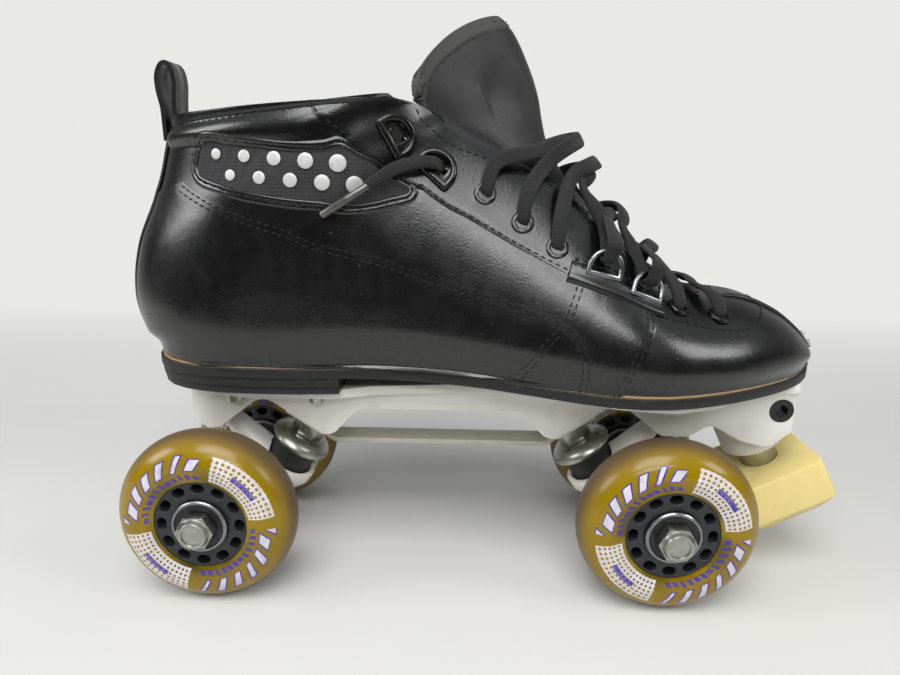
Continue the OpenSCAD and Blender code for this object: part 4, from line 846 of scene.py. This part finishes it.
def addStitch(bm, p, ahead, n):
    across = n.cross(ahead).normalized()
    turn = Matrix((ahead, across, ahead.cross(across))).transposed().to_4x4()
    scale = Matrix.Diagonal((stitchForm["length"] / 2, stitchForm["thread"], stitchForm["thread"], 1))
    bmesh.ops.create_uvsphere(bm, u_segments=6, v_segments=4, radius=mm,
                              matrix=Matrix.Translation(p * mm) @ turn @ scale)


def sewLine(bm, line, normals):
    run = 0.0
    for p, q, n in zip(line, line[1:], normals):
        run += (q - p).length
        if run >= stitchForm["pitch"]:
            run = 0.0
            addStitch(bm, (p + q) / 2, (q - p).normalized(), n)


def sewSeams(name, runs):
    bm = bmesh.new()
    for key, shift, lift in runs:
        for side in (-1, 1):
            for p, ahead, n in sampled(seams[key], side, shift, lift):
                addStitch(bm, p, ahead, n)
    keep(name, bm, [thread], "chassis", slot="black_leather", sharp=180)


def overlayPiece(name, across, rows, where, lift, thickness, mat, replaced=(), slot="black_leather"):
    parts = []
    for side in (-1, 1):
        def place(s, t):
            u, k = where(s, t, side)
            return dressed(u, k, side, lift(s, t))
        u, k = where(.5, .5, side)
        parts.append(mappedGrid(across, rows, place, outward=skinNormal(u, k, side)))
    piece = keep(name, joined(parts), [mat, cutEdge], "chassis", replaced, slot, 50)
    return thicken(piece, thickness)


def edgeOf(key):
    return sorted(seams[key])


overlayForm = {"counterFoot": [(6.9, 2.9), (10.6, 2.9), (11.1, 3.6), (11.9, 1.6), (12.3, .02), (17, .02)],
               "quarter": (2.95, 8.7), "quarterWide": 1.1, "eyestay": (7.4, 16.98), "strapLow": -.5, "strapWide": .72}


def buildOverlays():
    counter = edgeOf("counter")

    def onCounter(s, t, side):
        u = counter[0][0] + (counter[-1][0] - counter[0][0]) * s
        low = between(overlayForm["counterFoot"], u)
        return u, low + (max(between(counter, u), low + .02) - low) * t

    overlayPiece("heelCounter", 150, 26, onCounter, lambda s, t: .42 - .3 * max(0, t - .86) / .14, .5, leather)

    vamp = sorted((k, u) for u, k in seams["vamp"])

    def onQuarter(s, t, side):
        low, high = overlayForm["quarter"]
        k = low + (high - low) * s
        return between(vamp, k) + overlayForm["quarterWide"] * t, k

    overlayPiece("quarterEdge", 46, 14, onQuarter, lambda s, t: .55 - 1.1 * max(0, t - .25) if t > .02 else .35, .8,
                 leather)
    eyestay = edgeOf("eyestay")

    def onEyestay(s, t, side):
        first, last = overlayForm["eyestay"]
        u = first + (last - first) * s
        top = throatEdge(round(u, 4), side)
        low = between(eyestay, u)
        return rounded(u, (low + (top - low) * t) / top, side)

    facing = overlayPiece("eyestayFacing", 150, 20, onEyestay, lambda s, t: .65 if .02 < t else .35, .75, leather)
    bm = bmesh.new()
    bm.from_mesh(facing.data)
    cutRingHoles(bm)
    bm.to_mesh(facing.data)
    bm.free()
    strap = edgeOf("strap")

    def onStrap(s, t, side):
        u = strap[0][0] + (strap[-1][0] - strap[0][0]) * s
        return u, between(strap, u) + overlayForm["strapLow"] + overlayForm["strapWide"] * t

    def strapLift(s, t):
        ridge = .35 * math.sin(2 * math.pi * t) ** 2
        return (1.15 + ridge) * min(1, .3 + 5 * min(t, 1 - t, 12 * s, 12 - 12 * s))

    overlayPiece("wireStrap", 60, 16, onStrap, strapLift, 1.1, trimLeather, ["loop_straps"])
    print("overlays laid")


buildOverlays()


# ankle windows: a raised frame round a mesh, with two rows of reflective dots
windowForm = {"points": 160, "centre": (13.6, 7.1), "inner": -.2, "reach": 4.4, "seam": 1.7, "meshLift": .25,
              "hemLimit": 16.7, "heelLimit": .3,
              "lift": [(0, -.2), (.05, .5), (.12, .68), (.34, .64), (.43, .42), (.55, .62), (.75, .5), (1, -.35)],
              "dotAt": (-102, 177.2), "dotPitch": 11.6, "dotFall": .7, "dotRow": 7.6, "dotRadius": 2, "dotGrow": .28,
              "dots": 5, "dotLift": 1.0, "film": .8}


def windowOutline(i):
    points = seams["windowTop"] + seams["windowLow"]
    n = len(points)
    v = i / windowForm["points"] * n
    j = math.floor(v) % n
    return spline(points[(j - 1) % n], points[j], points[(j + 1) % n], points[(j + 2) % n], v - math.floor(v))


def buildDots(side):
    parts = []
    for i in range(windowForm["dots"]):
        for row in (0, 1):
            x = windowForm["dotAt"][0] + windowForm["dotPitch"] * (i + row / 2)
            z = windowForm["dotAt"][1] - windowForm["dotRow"] * row - windowForm["dotFall"] * i
            r = windowForm["dotRadius"] + windowForm["dotGrow"] * i

            def place(s, t):
                a = 2 * math.pi * s
                u, k = skinAt(x + r * t * math.cos(a), z + r * t * math.sin(a), side)
                return dressed(u, k, side, windowForm["dotLift"] - .25 * t ** 6)

            parts.append(faced(mappedGrid(24, 4, place), Vector((0, side, 0))))
    return parts


def buildWindow():
    count, centre = windowForm["points"], windowForm["centre"]
    rim = [windowOutline(i) for i in range(count)]
    stitches = bmesh.new()
    frameParts, meshParts, dotParts = [], [], []
    for side in (-1, 1):
        middle = skin(*centre, side)
        outward = []
        for i, (u, k) in enumerate(rim):
            ahead = (skin(*rim[(i + 1) % count], side) - skin(*rim[i - 1], side)).normalized()
            out = skinNormal(u, k, side).cross(ahead)
            outward.append(out if out.dot(skin(u, k, side) - middle) > 0 else -out)

        def onFrame(s, t):
            i = round(s * count) % count
            u, k = shifted(*rim[i], side, outward[i] * (windowForm["inner"] + windowForm["reach"] * t))
            return dressed(min(u, windowForm["hemLimit"]), max(k, windowForm["heelLimit"]), side,
                           between(windowForm["lift"], t))

        def onMesh(s, t):
            u, k = (c + (r - c) * t for c, r in zip(centre, rim[round(s * count) % count]))
            return dressed(u, k, side, windowForm["meshLift"])

        facing = skinNormal(*rim[0], side)
        frameParts.append(faced(mappedGrid(count, 12, onFrame), facing))
        meshParts.append(faced(mappedGrid(count, 10, onMesh), facing))
        dotParts += buildDots(side)
        ring = [dressed(*shifted(*rim[i], side, outward[i] * windowForm["seam"]), side, .5) for i in range(count)]
        sewLine(stitches, ring + ring[:1], [skinNormal(*at, side) for at in rim])
    keep("windowFrame", joined(frameParts), [leather], "chassis", slot="black_leather", sharp=60)
    keep("windowStitches", stitches, [thread], "chassis", slot="black_leather", sharp=180)
    keep("windowMesh", joined(meshParts), [mesh], "chassis", ["side_panels"], "panel_weave", 60)
    dots = keep("reflectDots", joined(dotParts), [film], "chassis", ["reflectors"], "silver_reflective", 60)
    thicken(dots, windowForm["film"])
    print("windows made")


buildWindow()

sewSeams("seamStitches", [
    ("counter", 1.5, .36), ("counter", 3.7, .45), ("strut", -1, .45), ("strut", 1.1, .45), ("vamp", 1.3, .6),
    ("vamp", 3.3, .6), ("tab", -1, .15), ("tab", 1, .15), ("strap", -.6, 1.5), ("strap", -3.2, 1.45),
    ("strap", -6.2, .1), ("eyestay", -1.3, .7), ("panel", 0, .15), ("apron", 0, .1),
])


edgeForm = {"facing": [4.9 + i * .3 for i in range(39)], "inset": .32, "facingLift": .68,
            "collar": [.04 + i * .05 for i in range(18)], "collarLift": .1}


def sewEdges():
    bm = bmesh.new()
    for side in (-1, 1):
        facing = [rounded(u, 1 - edgeForm["inset"] / throatEdge(round(u, 3), side), side) for u in edgeForm["facing"]]
        collar = [rounded(collarForm["hem"], share, side) for share in edgeForm["collar"]]
        for points, lift in ((facing, edgeForm["facingLift"]), (collar, edgeForm["collarLift"])):
            for p, ahead, n in sampled(points, side, 0, lift):
                addStitch(bm, p, ahead, n)
    keep("edgeStitches", bm, [thread], "chassis", slot="black_leather", sharp=180)
    print("stitches sewn")


sewEdges()


def buildTongue():
    def shape(v, w):
        inner = max(-1, min(1, w))
        p = tonguePoint(v, inner)
        p.x += between(tongueForm["trim"], v) * math.sin(math.pi / 2 * inner) ** 2
        middle = math.cos(math.pi / 2 * inner)
        calm = (1 - math.exp(-(inner / .32) ** 2)) * middle      # the middle and the edges stay smooth
        lift = tongueForm["puff"] * middle * unit((v - 5.5) / 2) * unit((10 - v) / .8)
        for size, at, reach, waves, lean, start in tongueForm["folds"]:
            lift += size * math.exp(-((v - at) / reach) ** 2) * math.sin(waves * inner + lean * v + start) * calm
        lift += tongueForm["crease"] * math.exp(-((v - 7) / .8) ** 2 - ((inner + .5 - .12 * (v - 7)) / .09) ** 2)
        skirt = tongueForm["skirt"] * max(0, abs(w) - 1) * unit((7.6 - v) / 1.2)
        return p + tongueNormal(v) * lift + Vector((-.35, math.copysign(.2, w), -.9)) * skirt

    def uvAt(s, t):
        v = 10 * t
        return (2.5 * s - 1.25) * along(tongueForm["line"], v)[2] * 1.5, v * 15

    bm = mappedGrid(90, 150, lambda s, t: shape(10 * t, 2.5 * s - 1.25), outward=Vector((1, 0, .3)), uvAt=uvAt)
    uvLayer = bm.loops.layers.uv.active
    for face in bm.faces:
        at = sum((loop[uvLayer].uv for loop in face.loops), Vector((0, 0))) / len(face.loops)
        v = at.y / 15
        w = at.x / (along(tongueForm["line"], v)[2] * 1.5)
        c = face.calc_center_median() / mm
        inset = (c - shape(10, max(-1, min(1, w)))).length
        if inset < tongueForm["binding"] or v > 8.8 and abs(w) > .92:
            face.material_index = 1
    bmesh.ops.remove_doubles(bm, verts=bm.verts, dist=.01 * mm)
    bm.normal_update()
    taped = [v for v in bm.verts if all(f.material_index for f in v.link_faces)]
    for v in taped:
        v.co += v.normal * tongueForm["bindingLift"] * mm
    piece = keep("tongueBody", bm, [satin, tape], "chassis", ["tongue"], "tongue_satin", 60)
    thicken(piece, tongueForm["thickness"])
    hem, stitches = tongueForm["hem"], bmesh.new()
    normal = tongueNormal(hem)
    sewLine(stitches, [shape(hem, -.84 + .056 * i) + normal * .55 for i in range(31)], [normal] * 31)
    keep("tongueStitches", stitches, [thread], "chassis", slot="tongue_satin", sharp=180)
    print("tongue made")


buildTongue()


backstayForm = {"from": 11.9, "to": 16.4, "half": 9, "lift": 1.25, "thickness": 1.2}


def buildBackstay():
    def place(s, t):
        u = backstayForm["from"] + (backstayForm["to"] - backstayForm["from"]) * t
        lat = (2 * s - 1) * backstayForm["half"]
        side = -1 if lat < 0 else 1
        k, high = 0.0, 6.0
        for _ in range(16):
            middle = (k + high) / 2
            k, high = (middle, high) if abs(skin(u, middle, side).y) < abs(lat) else (k, middle)
        edge = 1 - .5 * max(0, abs(2 * s - 1) - .9) / .1
        return offSkin(u, max(k, .001), side, backstayForm["lift"] * edge)

    bm = mappedGrid(24, 60, place, outward=Vector((-1, 0, 0)))
    piece = keep("backstayStrip", bm, [trimLeather], "chassis", ["backstay"], "black_leather", 50)
    thicken(piece, backstayForm["thickness"])


loopForm = {"place": (-128.5, 191.5), "half": 6, "length": 62, "thickness": 1.7, "stripe": 2,
            "path": [(-2.2, -9), (-2.3, -2), (-2.5, 4), (-3.6, 10), (-3.7, 15.5), (-2, 19.6), (.4, 20.6), (2.4, 18.2),
                     (3.1, 13), (2.6, 7), (2.5, 2), (4.2, -3), (4.6, -8)]}


def buildPullLoop():
    path, half = loopForm["path"], loopForm["half"]
    x, z = loopForm["place"]

    def place(s, t):
        p = along(path, t * (len(path) - 1))
        return Vector((x + p[0], (2 * s - 1) * half, z + p[1]))

    bm = mappedGrid(12, 110, place, uvAt=lambda s, t: (2 * half * s, loopForm["length"] * t))
    bmesh.ops.recalc_face_normals(bm, faces=bm.faces)
    for face in bm.faces:
        if abs(face.calc_center_median().y) < loopForm["stripe"] * mm:
            face.material_index = 1
    piece = keep("pullLoop", bm, [trimLeather, stripe], "chassis", ["pull_loop"], "black_leather", 50)
    thicken(piece, loopForm["thickness"], offset=0)


buildBackstay()
buildPullLoop()
print("backstay and pull loop made")


toeForm = {"ridge": [(4.45 - .23 * i, 11.05 + .01 * i) for i in range(19)], "cord": .85, "fray": 20, "frayAt": 11.25}


def buildToeSeam():
    ridge, tubes = toeForm["ridge"], []
    for shift in (-1, 1):
        def place(s, t):
            u, k = along(ridge, t * (len(ridge) - 1))
            a = 2 * math.pi * s
            n, across = skinNormal(u, k, -1), skinUp(u, k, -1)
            size = min(1, .3 + 6 * t)
            return skin(u, k, -1) + across * (shift * size + toeForm["cord"] * math.cos(a)) + n * (
                .25 + .8 * math.sin(a) * size)

        tubes.append(closedTube(mappedGrid(12, 80, place), .004))
    keep("toeSeam", joined(tubes), [trimLeather], "chassis", slot="black_leather", sharp=50)
    fray = bmesh.new()
    k = toeForm["frayAt"]
    for i in range(toeForm["fray"]):
        u = 1.6 * i / (toeForm["fray"] - 1) + .1 + random.uniform(-.05, .05)
        n = skinNormal(u, k, -1)
        lean = (n + Vector((random.uniform(.1, .9), random.uniform(-.7, .3), random.uniform(-.5, .4)))).normalized()
        long = random.uniform(1, 2.6)
        at = skin(u, k, -1) + n * .5 + lean * long / 2
        bmesh.ops.create_cone(fray, cap_ends=True, segments=5, radius1=.24 * mm, radius2=.08 * mm, depth=long * mm,
                              matrix=Matrix.Translation(at * mm) @ lean.to_track_quat("Z", "X").to_matrix().to_4x4())
    keep("toeFray", fray, [thread], "chassis", slot="black_leather", sharp=180)
    print("toe seam sewn")


buildToeSeam()

# wheels: cast tyres on moulded cores
wheelForm = {"radius": 36, "half": 12, "coreRadius": 18.5, "rearX": -111, "frontX": 74, "axleZ": 36, "track": 41.6,
             "steps": 96, "bearing": 11, "bearingOut": 12.15, "bearingWidth": 7}


def wheelTurn(x, side):
    face = Matrix.Rotation(-side * math.pi / 2, 4, "X")
    return Matrix.Translation(Vector((x, side * wheelForm["track"], wheelForm["axleZ"])) * mm) @ face


def buildTyre(name, x, side, body, node):
    r, h, c = wheelForm["radius"], wheelForm["half"], wheelForm["coreRadius"]
    arc = [(r - h + h * math.cos(a), h * math.sin(a)) for a in [math.radians(-90 + 6 * i) for i in range(31)]]
    inner = [(c + 2.4, h - .75), (c + .5, h - 1.3), (c, h - 1.55)]
    bm = spunRing(arc + inner + [(p, -q) for p, q in inner[::-1]], Matrix.Identity(4), wheelForm["steps"])
    uvLayer = bm.loops.layers.uv.new("UVMap")
    for face in bm.faces:
        middle = face.calc_center_median()
        centre = math.atan2(middle.y, middle.x)
        for loop in face.loops:
            a = math.atan2(loop.vert.co.y, loop.vert.co.x)
            a += 2 * math.pi * round((centre - a) / (2 * math.pi))
            loop[uvLayer].uv = (a / (2 * math.pi) + 1, math.hypot(loop.vert.co.x, loop.vert.co.y) * 10)
    bmesh.ops.transform(bm, matrix=wheelTurn(x, side), verts=bm.verts)
    keep(name, bm, [amber], body, [node], "amber_urethane", 60)


def buildBearings(name, x, side, body, node):
    r, out, w = wheelForm["bearing"], wheelForm["bearingOut"], wheelForm["bearingWidth"]
    races, seals = [], []
    for way in (1, -1):
        turn = wheelTurn(x, side) @ Matrix.Diagonal((1, 1, way, 1))
        races.append(spunRing([(r - 1.2, out - w), (r - .4, out - w), (r, out - w + .4), (r, out - .4), (r - .4, out),
                               (r - 1.2, out), (r - 1.4, out - .3), (r - 1.4, out - w + .3)], turn, 64))
        seals.append(spunRing([(6.4, out - .9), (r - 1.35, out - .9), (r - 1.35, out - .45), (r - 2, out - .35),
                               (7.4, out - .35), (6.4, out - .55)], turn, 64))
    for bm in races + seals:
        bmesh.ops.recalc_face_normals(bm, faces=bm.faces)
    keep(f"{name}Races", joined(races), [bright], body, [node], "bright_steel", 40)
    keep(f"{name}Seals", joined(seals), [sealRubber], body, slot="black_rubber", sharp=40)


for end, x in (("rear", wheelForm["rearX"]), ("front", wheelForm["frontX"])):
    for hand, side in (("right", -1), ("left", 1)):
        body, name = f"{end}_{hand}_wheel", f"{end}{hand.title()}"
        buildTyre(f"{name}Tyre", x, side, body, f"{end}_{hand}_tyre")
        buildBearings(name, x, side, body, f"{end}_{hand}_outer_races")
        softenedCopy(f"{name}Core", f"{end}_{hand}_core", nylon, body, "core_charcoal", .35)
print("wheels made")

# domed washers on the leaning kingpins
kingForm = {"inboard": 30.5, "above": 18.3, "tilt": math.radians(34),
            "washer": [(4.1, 0), (7.6, 0), (9.4, -.25), (11.4, -1), (13, -2.3), (13.9, -3.9), (14.05, -4.7),
                       (13.8, -5.2), (13.2, -5.35), (12.6, -5.05), (12, -3.9), (10.9, -2.9), (9, -2.2), (7.6, -2),
                       (4.1, -2)]}


def kingTurn(x, way):
    place = Vector((x + way * kingForm["inboard"], 0, wheelForm["axleZ"] + kingForm["above"])) * mm
    return Matrix.Translation(place) @ Matrix.Rotation(way * kingForm["tilt"], 4, "Y")


washers = [spunRing(kingForm["washer"], kingTurn(wheelForm[end], way), 72)
           for end, way in (("rearX", 1), ("frontX", -1))]
keep("cupWashers", joined(washers), [zinc], "chassis", ["cushion_washers"], "zinc_steel", 50)
print("cushion washers spun")

# hard parts with their edges eased
for name, node, mat, slot, radius in (
        ("castPlate", "plate", enamel, "white_enamel", .6), ("tieBar", "tie_bar", alloy, "aluminium_grey", .4),
        ("outsoleSlab", "outsole", soleRubber, "sole_black", .4),
        ("midsoleBoard", "midsole", weltBoard, "midsole_tan", 0),
        ("heelLiftLow", "heel_lift_lower", liftRubber, "sole_black", .35),
        ("heelLiftUp", "heel_lift_upper", soleRubber, "sole_black", .3),
        ("jamNuts", "jam_nuts", zinc, "zinc_steel", .4), ("ringEyelets", "ring_eyelets", blackSteel, "black_steel", 0),
        ("laceEyelets", "eyelets", blackSteel, "black_steel", .2),
        ("wireLoops", "wire_loops", bright, "bright_steel", 0)):
    softenedCopy(name, node, mat, "chassis", slot, radius)
softenedCopy("toeStopBlock", "toe_stop_block", block, "toe_stop", "amber_block", 3.6, angle=20)
for end in ("rear", "front"):
    softenedCopy(f"{end}Hanger", f"{end}_hanger", enamel, f"{end}_truck", "white_enamel", .5)
    softenedCopy(f"{end}AxleNuts", f"{end}_axle_nuts", zinc, f"{end}_truck", "zinc_steel", .35)
print("hard parts eased")

# every node that keeps its own solid gets its finish
finishes = {
    "plate": enamel, "tie_bar": alloy, "mounting_screws": zinc, "clamp_screw": blackSteel, "kingpins": zinc,
    "jam_nuts": zinc, "kingpin_nuts": zinc, "cushion_washers": zinc, "lower_washers": zinc,
    "pivot_cups": cushionRubber, "rear_top_cushion": cushionRubber, "front_top_cushion": cushionRubber,
    "rear_low_cushion": cushionRubber, "front_low_cushion": cushionRubber, "heel_lift_lower": liftRubber,
    "heel_lift_upper": soleRubber, "outsole": soleRubber, "midsole": weltBoard, "insole": insoleFelt,
    "rear_hanger": enamel, "front_hanger": enamel, "toe_stop_stem": zinc, "toe_stop_block": block,
    "tongue": satin, "backstay": trimLeather, "pull_loop": trimLeather, "side_panels": mesh, "reflectors": film,
    "eyelets": blackSteel, "ring_eyelets": blackSteel, "wire_loops": bright, "loop_straps": trimLeather,
    "lace": braid, "lace_end_right": braid, "lace_end_left": braid, "aglets": acetate,
}
for end in ("rear", "front"):
    for part, mat in (("axle", zinc), ("axle_nuts", zinc), ("inner_races", bright), ("bearing_balls", bright),
                      ("bearing_spacers", zinc)):
        finishes[f"{end}_{part}"] = mat
    for hand in ("right", "left"):
        for part, mat in (("tyre", amber), ("core", nylon), ("outer_races", bright)):
            finishes[f"{end}_{hand}_{part}"] = mat
for name, mat in finishes.items():
    data = nodes[name].data
    data.materials.clear()
    data.materials.append(mat)
print("finishes set")


# stage: a floor that sweeps up behind, and ends short of the viewer
stageForm = {"half": 4, "front": -.42, "back": .6, "bend": .9, "rise": 2.4, "pale": "#e9e9e6",
             "fades": ((.16, .5), (-.16, -.4))}


def buildStage():
    bm = bmesh.new()
    bmesh.ops.create_grid(bm, x_segments=1, y_segments=24, size=1)
    front, back, bend = stageForm["front"], stageForm["back"], stageForm["bend"]
    for v in bm.verts:
        t = (v.co.y + 1) / 2
        x = v.co.x * stageForm["half"]
        if t < .4:
            v.co = (x, front + t / .4 * (back - front), 0)
        else:
            a = min(1, (t - .4) / .35) * math.pi / 2
            rise = max(0, (t - .75) / .25) * stageForm["rise"]
            v.co = (x, back + bend * math.sin(a), bend - bend * math.cos(a) + rise)
    bmesh.ops.recalc_face_normals(bm, faces=bm.faces)
    data = bpy.data.meshes.new("sweep")
    bm.to_mesh(data)
    bm.free()
    data.polygons.foreach_set("use_smooth", [True] * len(data.polygons))
    paper, shader = startMaterial("palePaper", Roughness=0.85, IOR=1.45)      # matt paper, faintly clouded
    where = addNode(paper, "TexCoord", pick="Object")
    feed(paper, shader, Base_Color=painted(paper, "#cbcbc9", [(patches(paper, where, 120, 3), "#d2d1ce")]))
    # far off, the viewer sees the paper evenly pale
    away = addNode(paper, "SeparateXYZ", {0: where}, "Y")
    ends = [addNode(paper, "MapRange", {0: away, 1: low, 2: high}) for low, high in stageForm["fades"]]
    ends = addNode(paper, "Math", dict(enumerate(ends)), operation="ADD")
    far = addNode(paper, "Math", {0: addNode(paper, "LightPath", pick="Is Camera Ray"), 1: ends}, operation="MULTIPLY")
    pale = addNode(paper, "Emission", {"Color": tint(stageForm["pale"]), "Strength": 1.0})
    mixed = addNode(paper, "MixShader", {0: far, 1: shader.outputs[0], 2: pale})
    feed(paper, paper.node_tree.nodes["Material Output"], Surface=mixed)
    data.materials.append(paper)
    sweep = bpy.data.objects.new("sweep", data)
    bpy.context.scene.collection.objects.link(sweep)


def addLamp(name, place, target, size, tall, power):
    data = bpy.data.lights.new(name, "AREA")
    data.shape, data.size, data.size_y, data.energy = "RECTANGLE", size, tall, power
    lamp = bpy.data.objects.new(name, data)
    bpy.context.scene.collection.objects.link(lamp)
    lamp.location = place
    lamp.rotation_mode = "QUATERNION"
    lamp.rotation_quaternion = (Vector(target) - Vector(place)).to_track_quat("-Z", "Y")


buildStage()
# soft boxes: place and aim in m, width, height and watts
lamps = {"softTop": ((-.1, -.62, 1.02), (0, 0, .05), .75, .6, 10),
         "softFront": ((0, -1.03, .72), (.04, 0, .14), .62, .18, 3.3),
         "softLeft": ((-1.05, -.32, .62), (-.05, 0, .1), .45, .45, 4.5),
         "softRight": ((1.03, -.44, .71), (.07, 0, .1), .4, .4, 3.5)}
for name, lamp in lamps.items():
    addLamp(name, *lamp)


def buildAir():
    # studio air: bright overhead, dim at the height of the viewer
    world = bpy.data.worlds.new("studioAir")
    world.use_nodes = True
    aim = addNode(world, "TexCoord", pick="Generated")
    height = addNode(world, "SeparateXYZ", {0: aim}, "Z")
    air = world.node_tree.nodes["Background"]
    air.inputs["Color"].default_value = tint("#f2f4f6")
    feed(world, air, Strength=addNode(world, "MapRange", {0: height, 1: 0.1, 2: 0.9, 3: 0.06, 4: 0.6}))
    pale = addNode(world, "Background", {"Color": tint(stageForm["pale"]), "Strength": 1.0})
    seen = addNode(world, "LightPath", pick="Is Camera Ray")
    mixed = addNode(world, "MixShader", {0: seen, 1: air.outputs[0], 2: pale})
    feed(world, world.node_tree.nodes["World Output"], Surface=mixed)
    bpy.context.scene.world = world
    bpy.context.scene.view_settings.view_transform = "Standard"


buildAir()
print("stage lit")
